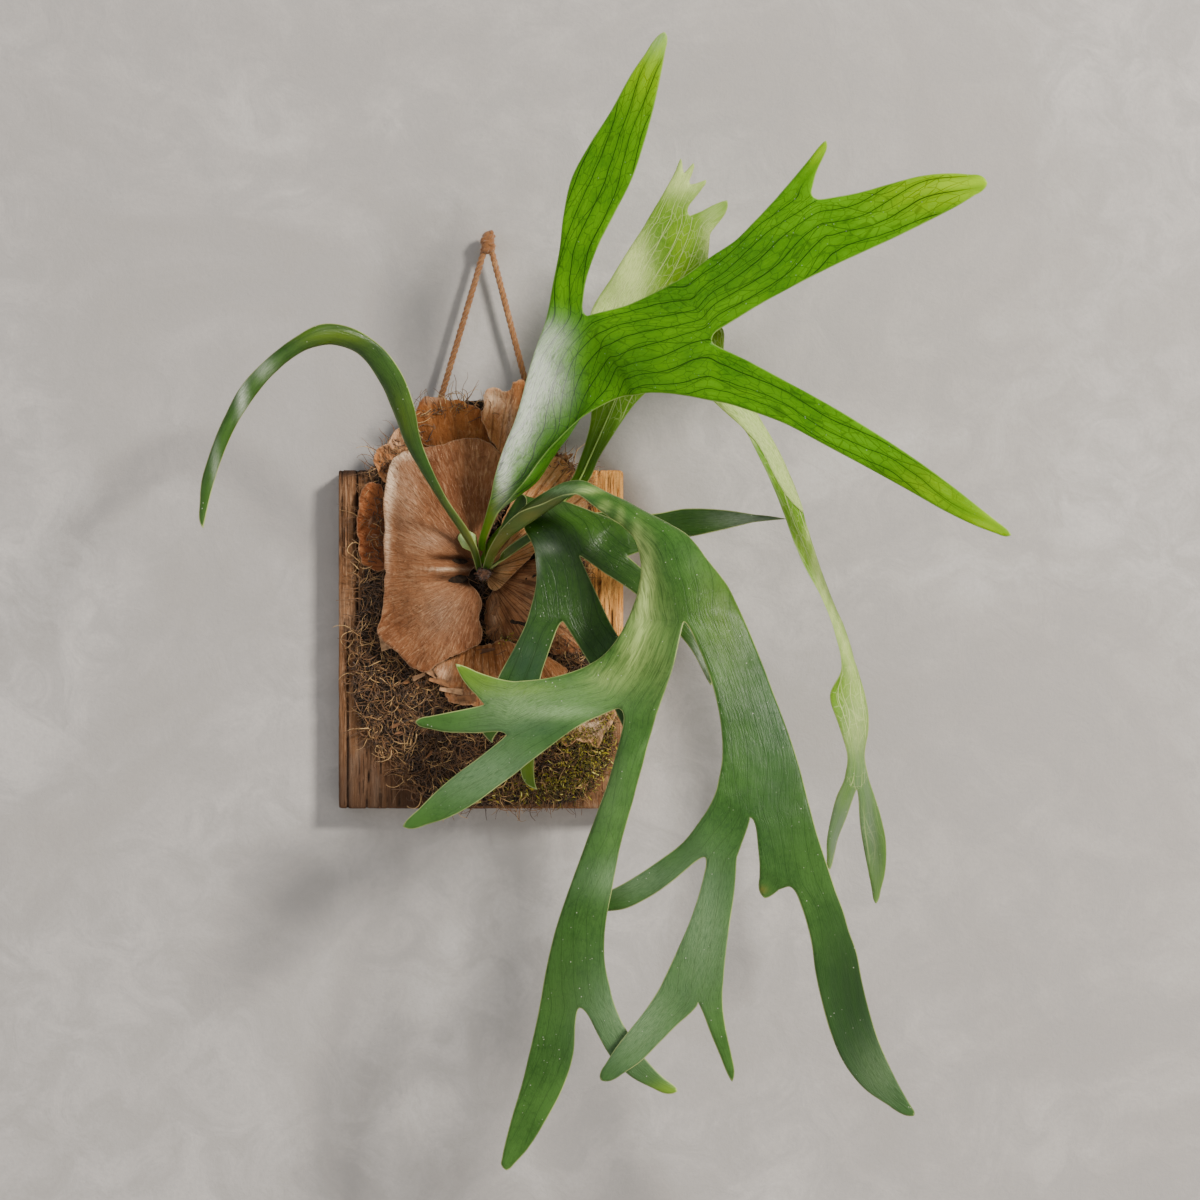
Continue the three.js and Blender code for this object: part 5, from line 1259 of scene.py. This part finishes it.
def build_mound():
    places, triangles = ring_sheet(MOUND_OUTLINE, MOUND_MIDDLE, MOUND_RINGS, MOUND_GRAIN)
    front, back = [], []
    for x, z, share in places:
        q = (x, 0, z)
        lumps = 1.6 * wobble(q, 13, 2) + 1.0 * wobble(q, 5, 4) + 0.5 * wobble(q, 2.2, 6)
        front.append(seen(x, z, mound_face(x, z) + min(lumps, 1.2) * (1 - 0.6 * share ** 6)))
        back.append(seen(x, z, BOARD_THICK + GAP))
    faces = shell_faces(triangles, len(places), open_edges(triangles))
    own(make_mesh("root_mat", front + back, faces, ROOT_MAT), "roots", "root_mound")


# ---- bud, roots, moss and litter ----

BUD_AT, BUD_HALF, BUD_STANDS = (1.5, 49.0), (6, 5), 22
BUD_RINGS, BUD_SIDES, BUD_SCALES = 14, 40, 60
ROOTS, ROOT_STEP, ROOT_SIDES = 3800, 2.0, 4
CHIPS, CRUMBS = 110, 120


def blade(heap, rng, root, heading, length, width, shade):
    """A small pointed scale or moss leaf, bent along its length."""
    side = unit(np.cross(heading, (rng.uniform(-1, 1), rng.uniform(-1, 1), rng.uniform(-1, 1))))
    bend = np.cross(side, heading) * rng.uniform(-0.5, 0.5)
    points = []
    for t, w in ((0, 0.5), (0.4, 1.0), (0.75, 0.7)):
        centre = root + heading * length * t + bend * length * t * t
        points += [centre - side * width * w / 2, centre + side * width * w / 2]
    points.append(root + heading * length + bend * length)
    heap.add(np.array(points), [[0, 1, 3, 2], [2, 3, 5, 4], [4, 5, 6]], shade)


def bud_place(angle, share, lump=1.0):
    """The place (x, z) on the bud's dome and how far it stands out of the wall there."""
    x = BUD_AT[0] + BUD_HALF[0] * share * lump * math.cos(angle)
    z = BUD_AT[1] + BUD_HALF[1] * share * lump * math.sin(angle)
    return x, z, mound_face(x, z) + BUD_STANDS * math.sqrt(max(1 - share ** 3, 0)) - 1


def build_rhizome():
    """The scaly bud: a dome of overlapping scales, with the stalks' feet in it."""
    heap = Heap()
    rng = random.Random(41)
    dome = []
    for i in range(BUD_RINGS + 1):
        for j in range(BUD_SIDES):
            angle = j / BUD_SIDES * TAU
            x, z, out = bud_place(angle, i / BUD_RINGS, 1 + 0.08 * math.sin(3 * angle + 1))
            dome.append(seen(x, z, out + 0.8 * wobble((x, 0, z), 3, 8)))
    heap.add(np.array(dome), quads(BUD_RINGS, BUD_SIDES, closed=True), 0.05)
    for _ in range(BUD_SCALES):
        angle, share = rng.uniform(0, TAU), math.sqrt(rng.uniform(0.02, 1))
        x, z, out = bud_place(angle, share)
        heading = np.array((math.cos(angle), -0.9, math.sin(angle)))
        heading = heading + np.array([rng.uniform(-0.4, 0.4) for _ in range(3)])
        blade(heap, rng, seen(x, z, out), unit(heading), rng.uniform(1.5, 3.5), rng.uniform(0.8, 1.8),
              rng.uniform(0.0, 0.15))
    own(heap.build("bud_scales", SCALES), "rhizome", "rhizome")


def outside(x, z, regions):
    """Whether (x, z) is in none of the ellipses (middle x, middle z, half width, half height)."""
    return all(((x - cx) / wide) ** 2 + ((z - cz) / tall) ** 2 > 1 for cx, cz, wide, tall in regions)


def root_thread(heap, rng, x, z, length, radius, loft, lean=(0, 0), shade=None):
    """A curly root that wanders over the mound from (x, z)."""
    heading = rng.uniform(0, TAU)
    turn = rng.uniform(-0.35, 0.35)
    high = rng.uniform(0.2, 1.0)
    steps = max(5, int(length / ROOT_STEP))
    path = []
    for i in range(steps):
        t = i / (steps - 1)
        base = mound_face(x, z) if mound_share(x, z) < 1 else BOARD_THICK + 3
        path.append(seen(x, z, base + 0.4 + loft * high * math.sin(math.pi * min(t * 1.15 + 0.02, 1))))
        turn = 0.75 * turn + rng.uniform(-0.38, 0.38)
        heading += turn
        x += ROOT_STEP * math.cos(heading) + lean[0]
        z += ROOT_STEP * math.sin(heading) + lean[1]
        high = min(max(high + rng.uniform(-0.1, 0.1), 0.1), 1.2)
    thick = radius * np.linspace(1.0, 0.45, steps)
    heap.add(*tube(path, thick, ROOT_SIDES), rng.random() if shade is None else shade)


# Where shields lie over the roots, as ellipses.
SHIELDED = [(-38, 62, 34, 86), (-20, 158, 26, 18), (36, 26, 36, 30), (50, 108, 32, 30), (8, -28, 36, 22),
            (34, 64, 32, 28), (20, 162, 14, 22), (82, -66, 14, 12)]
# Loose ends round the mound, along the line from (x, z) to (x, z), with their lean and their number.
LOOSE_ENDS = [
    ((-56, 166), (-12, 176), (0.1, 0.75), 95), ((-82, 120), (-62, 150), (-0.55, 0.35), 60),
    ((-92, 40), (-88, 112), (-0.3, 0.1), 45), ((48, 138), (76, 120), (0.45, 0.6), 110),
    ((36, 150), (50, 140), (0.2, 0.8), 40), ((76, 60), (82, 110), (0.5, 0.1), 50),
    ((-20, -120), (86, -112), (0.05, -0.5), 90), ((-88, -66), (-46, -114), (-0.4, -0.2), 120),
    ((-94, -40), (-93, 15), (-0.2, -0.1), 70), ((84, -100), (97, -60), (0.15, -0.1), 40)]


def build_fibres():
    rng = random.Random(7)
    heap = Heap()
    made = 0
    while made < ROOTS:
        x, z = rng.uniform(-96, 96), rng.uniform(-124, 176)
        if mound_share(x, z) > 1.0 or not outside(x, z, SHIELDED):
            continue
        made += 1
        root_thread(heap, rng, x, z, rng.uniform(8, 24), rng.uniform(0.18, 0.45), rng.uniform(1.5, 6.5))
    for (x0, z0), (x1, z1), lean, count in LOOSE_ENDS:
        for _ in range(count):
            t = rng.random()
            x, z = x0 + (x1 - x0) * t + rng.uniform(-3, 3), z0 + (z1 - z0) * t + rng.uniform(-3, 3)
            root_thread(heap, rng, x, z, rng.uniform(10, 22), rng.uniform(0.22, 0.42),
                        rng.uniform(1, 8), lean, rng.uniform(0.35, 1.0))
    own(heap.build("root_fibres", FIBRES), "roots")


# Beds of moss: middle x, middle z, half width, half height and the number of leaves.
MOSS_BEDS = [(80, -88, 20, 26, 1500), (58, -110, 20, 12, 500), (96, -60, 8, 14, 300),
             (30, -112, 22, 10, 260), (20, -2, 6, 5, 90), (84, 60, 6, 22, 90), (60, -70, 16, 14, 500),
             (84, 10, 6, 30, 260), (-10, -112, 20, 8, 260)]


def build_moss():
    rng = random.Random(13)
    heap = Heap()
    for cx, cz, wide, tall, count in MOSS_BEDS:
        for _ in range(count):
            x, z = rng.gauss(cx, wide * 0.55), rng.gauss(cz, tall * 0.55)
            if mound_share(x, z) > 1.03 or z < -126:
                continue
            hump = 3.5 + 5.0 * noise.noise(Vector((x, 3, z)) / 7)
            out = mound_face(x, z) + rng.uniform(0, 1) * hump
            heading = unit(np.array([rng.gauss(0, 0.7), -1.0 + rng.gauss(0, 0.4), rng.gauss(0, 0.7)]))
            blade(heap, rng, seen(x, z, out), heading, rng.uniform(2.2, 5.5), rng.uniform(0.5, 1.0),
                  min(max(rng.gauss(0.4, 0.35), 0), 1))
    own(heap.build("moss_tufts", MOSS), "roots")


BARE_OF_CHIPS = [(-38, 62, 34, 86), (40, 30, 30, 26), (50, 104, 18, 18)]
# Torn strips of shield: x, z, heading in radians, length and width.
CURLS = [(-32, -28, 2.7, 14, 6), (-24, -34, 2.9, 16, 5), (-14, -40, 3.0, 18, 5), (-4, -44, 3.2, 16, 6),
         (-71, -8, 1.9, 15, 9), (-52, -30, 0.4, 10, 4), (-6, 53, 0.6, 5, 3.5), (-3, 48, -0.2, 9, 1.6),
         (8, 18, 1.2, 12, 4), (12, 24, 1.7, 10, 3), (4, 4, 0.7, 12, 4), (-4, -10, 0.2, 14, 4),
         (-62, 4, 2.5, 9, 4)]


def chip(heap, rng, x, z, out_low, out_high, steep, sizes, shades):
    """A chip that lies at any angle on the mound. Sizes are the ranges of its length and width."""
    heading = unit(np.array([rng.gauss(0, 1), rng.uniform(*steep), rng.gauss(0, 1)]))
    root = seen(x, z, mound_face(x, z) + rng.uniform(out_low, out_high))
    blade(heap, rng, root, heading, rng.uniform(*sizes[0]), rng.uniform(*sizes[1]), rng.uniform(*shades))


def curl_strip(heap, rng, x, z, turn, length, wide):
    """A torn strip of shield that rolls up at its end. Those to the left and below are paler: painted
    sunlight on them.
    """
    steps, columns = 14, 5
    base = mound_face(x, z) + 5
    points = []
    for i in range(steps + 1):
        t = i / steps
        rise = 2.5 * t * t + 0.5 * math.sin(5 * t)
        for j in range(columns + 1):
            s = (j / columns - 0.5) * wide * (1 - 0.5 * t)
            px = x + length * t * math.cos(turn) - s * math.sin(turn)
            pz = z + length * t * math.sin(turn) + s * math.cos(turn)
            points.append(seen(px, pz, base + rise + 1.2 * (2 * s / wide) ** 2 + 0.3 * rng.random()))
    shades = (0.6, 1.0) if z < -20 or x < -20 else (0.2, 0.45)
    heap.add(np.array(points), quads(steps, columns), rng.uniform(*shades))


def build_litter():
    """Chips of bark and curled shreds of old shield."""
    rng = random.Random(19)
    heap = Heap()
    for _ in range(CHIPS):
        x, z = rng.uniform(-92, 92), rng.uniform(-120, 160)
        if mound_share(x, z) <= 0.96 and outside(x, z, BARE_OF_CHIPS):
            chip(heap, rng, x, z, 1, 4, (-0.6, -0.1), ((4, 10), (1.5, 4.5)), (0.2, 0.6))
    for _ in range(CRUMBS):
        x, z = rng.gauss(66, 8), rng.gauss(137, 4)
        if mound_share(x, z) < 1:
            chip(heap, rng, x, z, 0, 4, (-1.0, -0.2), ((4, 9), (2, 4.5)), (0.4, 1.0))
    for curl in CURLS:
        curl_strip(heap, rng, *curl)
    own(heap.build("shreds", SCALES), "dry_shield")


# ---- the back frond's rib and margin ----

RIB = [(60, 102, 60.5), (66, 109, 63), (73.5, 120, 66.5), (80.5, 135, 71), (87, 149.5, 75.5),
       (94, 165.5, 79.5), (100, 180, 84.5)]
# The edges of the margin where it turns over and shows its pale underside.
TURNED_OUTER = [(182, 210, 103.3), (194, 191, 105.3), (206, 169, 106.5), (217, 151, 107.5),
                (226, 134, 108.5), (232, 120, 109.8), (237.5, 106.5, 110.5), (241, 96, 111)]
TURNED_INNER = [(167, 184, 106.5), (183, 169.5, 112.6), (197, 157, 117.5), (206, 147, 116.8),
                (213.5, 134, 118), (221, 119, 120.2), (230, 105, 118.5), (240, 95, 112.5)]


def build_rib():
    """The pale midrib up the stalk of the back frond: a pale tube that is also a painted highlight along
    it.
    """
    path = Track([seen(*p) for p in RIB])
    places = np.array([path.at(s) for s in np.linspace(0, len(RIB) - 1, 40)])
    points, faces = tube(places, np.linspace(0.7, 0.4, 40), 8)
    values = {"pale_ridge_and_highlight": np.ones(len(points)), "rim": np.full(len(points), 9.0)}
    own(make_mesh("leaf_rib", points, faces, SILVER, values), "bright_leaf")


def build_turned_margin():
    outer, inner = (Track([seen(*p) for p in line]) for line in (TURNED_OUTER, TURNED_INNER))
    rows, columns = 60, 6
    points, uv = [], []
    for i in range(rows + 1):
        place = (len(TURNED_OUTER) - 1) * i / rows
        a, b = outer.at(place), inner.at(place)
        for j in range(columns + 1):
            share = j / columns
            points.append(a + (b - a) * share + np.array((0, -1.2 * math.sin(math.pi * share), 0)))
            uv.append((share * 1.2, place * 2.0))
    triangles = np.array([t for a, b, c, d in quads(rows, columns) for t in ((a, b, c), (a, c, d))])
    rim = open_edges(triangles)
    sheet, faces = skin_sheet(np.array(points), triangles, np.full(len(points), 0.7), rim)
    values = {key: np.full(len(sheet), v) for key, v in (("bloom_and_highlight", 0.5), ("rim", 3.0), ("broad", 0.2))}
    own(make_mesh("leaf_margin", sheet, faces, SILVER, values, twice(uv)), "bright_leaf")


# ---- board ----

BOARD_WIDE, BOARD_TALL, BOARD_CELLS = 212.0, 252.0, (150, 12, 120)
ROPE_PLANE, ROPE_DIAMETER, ROPE_IN_BOARD, HOLE_DIAMETER = 12.5, 5.0, 24.0, 6.0
HOLES = {-1: -46.0, 1: 50.0}
WORN_EDGE = 2.4
KNOT = np.array((4.8, -ROPE_PLANE, 296.0))
# Cracks along the grain: x, lowest z, highest z, half width and depth.
CRACKS = [(-92, -20, 126, 0.7, 5), (-99, -126, 10, 0.5, 3), (-84, -126, -60, 0.5, 3),
          (-70, -126, -100, 0.4, 2), (-103, 60, 126, 0.4, 2), (-60, -126, -110, 0.4, 2),
          (88, 30, 126, 0.5, 3), (98, -40, 80, 0.5, 3), (102, -126, -80, 0.5, 2), (94, 80, 126, 0.4, 2),
          (60, 100, 126, 0.5, 3)]


def crack_depth(x, z):
    """How deep the cracks are at (x, z). One that reaches an end of the board runs out over it."""
    deepest = 0.0
    for cx, low, high, wide, depth in CRACKS:
        if low - 6 < z < high + 6:
            line = cx + 1.1 * wobble((cx, 0, z), 16, cx) + 0.4 * wobble((cx, 0, z), 5, cx)
            from_low = smooth(low - 6, low + 8, z)
            to_high = 1 - smooth(high - 8, high + 6, z)
            ends = to_high if low < -120 else from_low if high > 120 else from_low * to_high
            deepest = max(deepest, depth * ends * math.exp(-(((x - line) / wide) ** 2)))
    return deepest


def box_grid(half, counts):
    """Points and faces of a box whose sides are split into counts of cells."""
    index, points, faces = {}, [], []

    def at(key):
        if key not in index:
            index[key] = len(points)
            points.append([(2 * n / c - 1) * h for n, c, h in zip(key, counts, half)])
        return index[key]

    for axis in range(3):
        u, v = [a for a in range(3) if a != axis]
        for end in (0, counts[axis]):
            for i in range(counts[u]):
                for j in range(counts[v]):
                    corner = []
                    for du, dv in ((0, 0), (1, 0), (1, 1), (0, 1)):
                        place = [end] * 3
                        place[u], place[v] = i + du, j + dv
                        corner.append(at(tuple(place)))
                    faces.append(corner if (end > 0) == (axis != 1) else corner[::-1])
    return points, faces


def build_board():
    half = np.array((BOARD_WIDE / 2, BOARD_THICK / 2, BOARD_TALL / 2))
    points, faces = box_grid(half, BOARD_CELLS)
    dark, sun, painted_board_shade = [], [], []
    for p in points:
        x, y, z = q = tuple(p)
        near = [h - abs(c) for h, c in zip(half, p)]
        worn = WORN_EDGE * (0.9 + 0.5 * wobble(q, 18, 1) + 0.4 * wobble(q, 6, 2))
        for a, b in ((0, 1), (0, 2), (1, 2)):
            far = near[a] + near[b]
            if far < worn:
                for axis in (a, b):
                    p[axis] -= math.copysign((worn - far) * 0.35, p[axis])
        depth = 0.0
        if near[1] < 0.1 and y < 0:
            ridge = 0.35 * noise.noise(Vector((x / 2.1, 0, z / 60)))
            ridge += 0.25 * noise.noise(Vector((x / 7, 5, z / 90)))
            depth = crack_depth(x, z)
            p[1] += 0.3 + ridge + depth
        elif near[1] < 0.1:
            p[1] = half[1]
        else:
            run = 0.4 * noise.noise(Vector((y / 2.0, x / 90, z / 90)))
            depth = 0.6 * crack_depth(x, z) if near[2] < 0.1 else 0.0
            side = 0 if near[0] < near[2] else 2
            p[side] -= math.copysign(0.25 + run * 0.5 + depth, p[side])
        # painted shade in the cracks, darker the deeper they are
        dark.append(min(1.0, depth / 2.5))
        sun.append(float(smooth(74, 88, x) * smooth(-70, 0, z)))
        # painted shade, darker towards the lower left and at the top left corner
        painted_board_shade.append(float(0.75 * smooth(-20, -125, z) * smooth(40, -20, x)
                          + smooth(119, 124, z) * smooth(-70, -76, x)))
        p[1] = min(p[1] - half[1], 0.0)
    board = make_mesh("old_board", points, faces, WOOD, {"dark": dark, "sun": sun, "painted_board_shade": painted_board_shade})
    cutters = []
    for side in HOLES:
        _, foot, heading = rope_line(side)
        path = [foot - heading * 6, foot + heading * (ROPE_IN_BOARD + 0.5)]
        cutters.append(make_mesh("cutter", *tube(path, HOLE_DIAMETER / 2, 24), WOOD))
        modifier = board.modifiers.new("hole", "BOOLEAN")
        modifier.operation, modifier.solver, modifier.object = "DIFFERENCE", "EXACT", cutters[-1]
    drilled = board.evaluated_get(bpy.context.evaluated_depsgraph_get())
    mesh = bpy.data.meshes.new_from_object(drilled)
    board.modifiers.clear()
    board.data = mesh
    for cutter in cutters:
        bpy.data.objects.remove(cutter)
    own(board, "weathered_wood", "board")


# ---- rope ----

STRANDS, STRAND_SIDES, STRAND_OFF, STRAND_RADIUS, ROPE_LAY = 3, 10, 1.28, 1.24, 13.0
ROPE_GRAIN, ROUTE_POINTS, TURN_STEPS = 0.9, 30, 48
LEG_HAIRS, KNOT_HAIRS = 240, 120
# Turns of the knot: tilt, nod, height, half width and half depth.
KNOT_TURNS = [(0.35, 0.1, 3.5, 4.6, 3.9), (-0.4, -0.2, -1.0, 5.0, 4.1), (0.15, 0.3, -5.0, 4.3, 3.6),
              (1.25, 0.2, 2.0, 5.6, 2.6), (-1.1, -0.3, 0.5, 6.2, 2.4), (0.8, 0.6, 5.0, 4.4, 2.6)]


def rope_line(side):
    """The top of a leg in the knot, its foot at the board's top edge, and its heading."""
    top = KNOT + np.array((side * 2.8, 0, -6))
    foot = np.array((HOLES[side], -ROPE_PLANE, BOARD_TALL / 2))
    return top, foot, unit(foot - top)


def strand(path, phase, seed):
    """One strand that winds round a straight path, with a slightly uneven yarn."""
    ahead = unit(path[-1] - path[0])
    side = unit(np.cross(ahead, (0.2, 1.0, 0.1)))
    run = np.linalg.norm(path - path[0], axis=1)
    angle = phase + run / ROPE_LAY * TAU
    centre = path + np.outer(np.cos(angle), side) * STRAND_OFF
    centre = centre + np.outer(np.sin(angle), np.cross(ahead, side)) * STRAND_OFF
    uneven = [1 + 0.09 * wobble((r, seed, 0), 3.5) + 0.06 * wobble((r, seed, 9), 1.2) for r in run]
    return tube(centre, STRAND_RADIUS * np.array(uneven), STRAND_SIDES), run


def build_leg(name, node, side):
    top, foot, heading = rope_line(side)
    end = foot + heading * ROPE_IN_BOARD
    start = top + heading * 0.3
    length = np.linalg.norm(end - start)
    path = start + np.outer(np.linspace(0, length, int(length / ROPE_GRAIN)), heading)
    heap, uv = Heap(), []
    for k in range(STRANDS):
        (ring, skin), run = strand(path, k * TAU / STRANDS, 10 * k + side)
        heap.add(ring, skin, 0.0)
        around = np.tile(np.arange(STRAND_SIDES) / STRAND_SIDES, len(path))
        along = np.repeat(run, STRAND_SIDES)
        uv.append(np.stack([around + along * 0.05 + k, along * 0.1], axis=1))
    piece = make_mesh(name, np.concatenate(heap.points), heap.faces, JUTE, None, np.concatenate(uv))
    own(piece, "jute_rope", node)
    route = start + np.outer(np.linspace(0, length, ROUTE_POINTS), heading)
    route = [tuple(p * MM) for p in route]


def build_knot():
    """Turns of rope drawn tight over each other, with one loop standing up at the top right."""
    heap = Heap()
    rng = random.Random(77)
    reach = 0.85
    for tilt, nod, height, wide, deep in KNOT_TURNS:
        for k in range(STRANDS):
            phase = rng.uniform(0, TAU)
            path = []
            for i in range(TURN_STEPS + 1):
                a = i / TURN_STEPS * TAU
                swirl = a * 4 + k * TAU / STRANDS + phase
                x = (wide + reach * math.cos(swirl)) * math.cos(a)
                y = (deep + reach * math.cos(swirl)) * math.sin(a)
                z = reach * 1.25 * math.sin(swirl)
                x, z = x * math.cos(tilt) - z * math.sin(tilt), x * math.sin(tilt) + z * math.cos(tilt)
                y, z = y * math.cos(nod) - z * math.sin(nod), y * math.sin(nod) + z * math.cos(nod)
                path.append(KNOT + (x * 0.95, y, z * 0.95 + height))
            heap.add(*tube(path, 0.95, 8), rng.random())
    angles = [-math.pi / 2 + i / 12 * math.pi for i in range(13)]
    core = [KNOT + np.array((0.3 * math.sin(3 * a), 0, 8.6 * math.sin(a))) for a in angles]
    heap.add(*tube(core, [0.5 + 4.4 * math.cos(a) ** 0.7 for a in angles], 16), 0.2)
    return own(heap.build("rope_knot", JUTE), "jute_rope", "knot")


def hair(heap, rng, root, heading, length):
    bend = np.array([rng.gauss(0, 0.35) for _ in range(3)])
    path = [root + heading * length * t + bend * length * t * t for t in (0, 0.33, 0.67, 1)]
    heap.add(*tube(path, (0.07, 0.06, 0.05, 0.03), 3), rng.uniform(0.4, 1.0))


def build_fuzz():
    """Short loose hairs that stand off the rope and the knot."""
    rng = random.Random(91)
    heap = Heap()
    for side in HOLES:
        top, foot, heading = rope_line(side)
        length = np.linalg.norm(foot - top)
        for _ in range(LEG_HAIRS):
            place = top + heading * rng.uniform(0, length)
            out = unit(np.array([rng.gauss(0, 1), rng.gauss(0, 1), rng.gauss(0, 0.4)]))
            away = unit(out + heading * rng.uniform(-1.5, 1.5))
            hair(heap, rng, place + out * 2.0, away, rng.uniform(1.5, 5))
    for _ in range(KNOT_HAIRS):
        out = unit(np.array([rng.gauss(0, 1) for _ in range(3)]))
        place = KNOT + out * (5.5, 4.5, 8.0)
        hair(heap, rng, place, unit(out + [rng.gauss(0, 0.6) for _ in range(3)]), rng.uniform(1, 3.5))
    own(heap.build("jute_fuzz", JUTE_HAIRS), "jute_rope")


# ---- the pieces ----

rope_knot = build_knot()
build_leg("rope_leg_left", "rope_left", -1)
build_leg("rope_leg_right", "rope_right", 1)
build_fuzz()
build_board()
build_mound()
build_rhizome()
for shield in SHIELDS:
    build_shield(**shield)
for index, (name, frond) in enumerate(FRONDS.items()):
    build_frond(name, *frond, seed=4.0 + 3 * index)
build_rib()
build_turned_margin()
build_fibres()
build_moss()
build_litter()

# ---- wall, floor and light ----

PLASTER_PALE, PLASTER_DARK = (0.56, 0.535, 0.515), (0.4, 0.375, 0.355)


def stage_plane(name, size, place, turn, material):
    mesh = bpy.data.meshes.new(name)
    h = size / 2
    mesh.from_pydata([(-h, -h, 0), (h, -h, 0), (h, h, 0), (-h, h, 0)], [], [(0, 1, 2, 3)])
    mesh.materials.append(material)
    plane = add_object(name, mesh)
    plane.location, plane.rotation_euler = place, turn


def plaster():
    """Pale plaster. Seen from behind, the wall lets the view and the light through."""
    g = Graph("plaster", Roughness=0.95)
    here = g.place()
    small = g.noise(here, 24, 6, 0.66, 1.0)
    grain = g.noise(here, 300, 3, 0.7)
    g.finish(g.coats(
        g.mix(g.ramp(g.noise(here, 3.0, 8, 0.66, 0.8), 0.34, 0.66), PLASTER_DARK, PLASTER_PALE),
        (g.ramp(small, 0.36, 0.62, 0.75, 0), (0.4, 0.38, 0.365)),
        (g.ramp(grain, 0.3, 0.7, 0.25, 0), (0.36, 0.34, 0.33))))
    g.bump((small, 0.0008), (grain, 0.0003))
    behind = g.node("NewGeometry").outputs["Backfacing"]
    shadow = g.node("LightPath").outputs["Is Shadow Ray"]
    g.blend(g.math("MAXIMUM", behind, shadow), g.node("BsdfTransparent"))
    return g.material


def floor_paint():
    g = Graph("floor_paint", Roughness=0.9)
    clouds = g.noise(g.place(), 1.5, 4)
    g.finish(g.mix(g.ramp(clouds, 0.3, 0.7), (0.6, 0.58, 0.56), (0.66, 0.64, 0.62)))
    return g.material


def area_light(name, place, aim, size, power, colour):
    data = bpy.data.lights.new(name, "AREA")
    data.size, data.energy, data.color = size, power, colour
    light = add_object(name, data)
    light.location = place
    light.rotation_euler = (Vector(aim) - Vector(place)).to_track_quat("-Z", "Y").to_euler()


stage_plane("wall", 7.0, (0, 0.0012, 0.9), (math.pi / 2, 0, 0), plaster())
stage_plane("floor", 9.0, (0, -2.0, -0.75), (0, 0, 0), floor_paint())
area_light("key", (2.1, -2.6, 1.6), (0.02, 0, 0.05), 0.6, 180, (1.0, 0.94, 0.85))
area_light("fill", (-2.4, -2.6, 0.8), (0, 0, 0), 2.4, 18, (0.97, 0.98, 1.0))
area_light("behind", (1.0, 2.6, 1.6), (0, 0, 0.1), 1.6, 14, (1.0, 0.97, 0.93))
world = bpy.data.worlds.new("studio")
world.use_nodes = True
background = world.node_tree.nodes["Background"].inputs
background["Color"].default_value = (0.93, 0.96, 1.0, 1)
background["Strength"].default_value = 0.44
bpy.context.scene.world = world
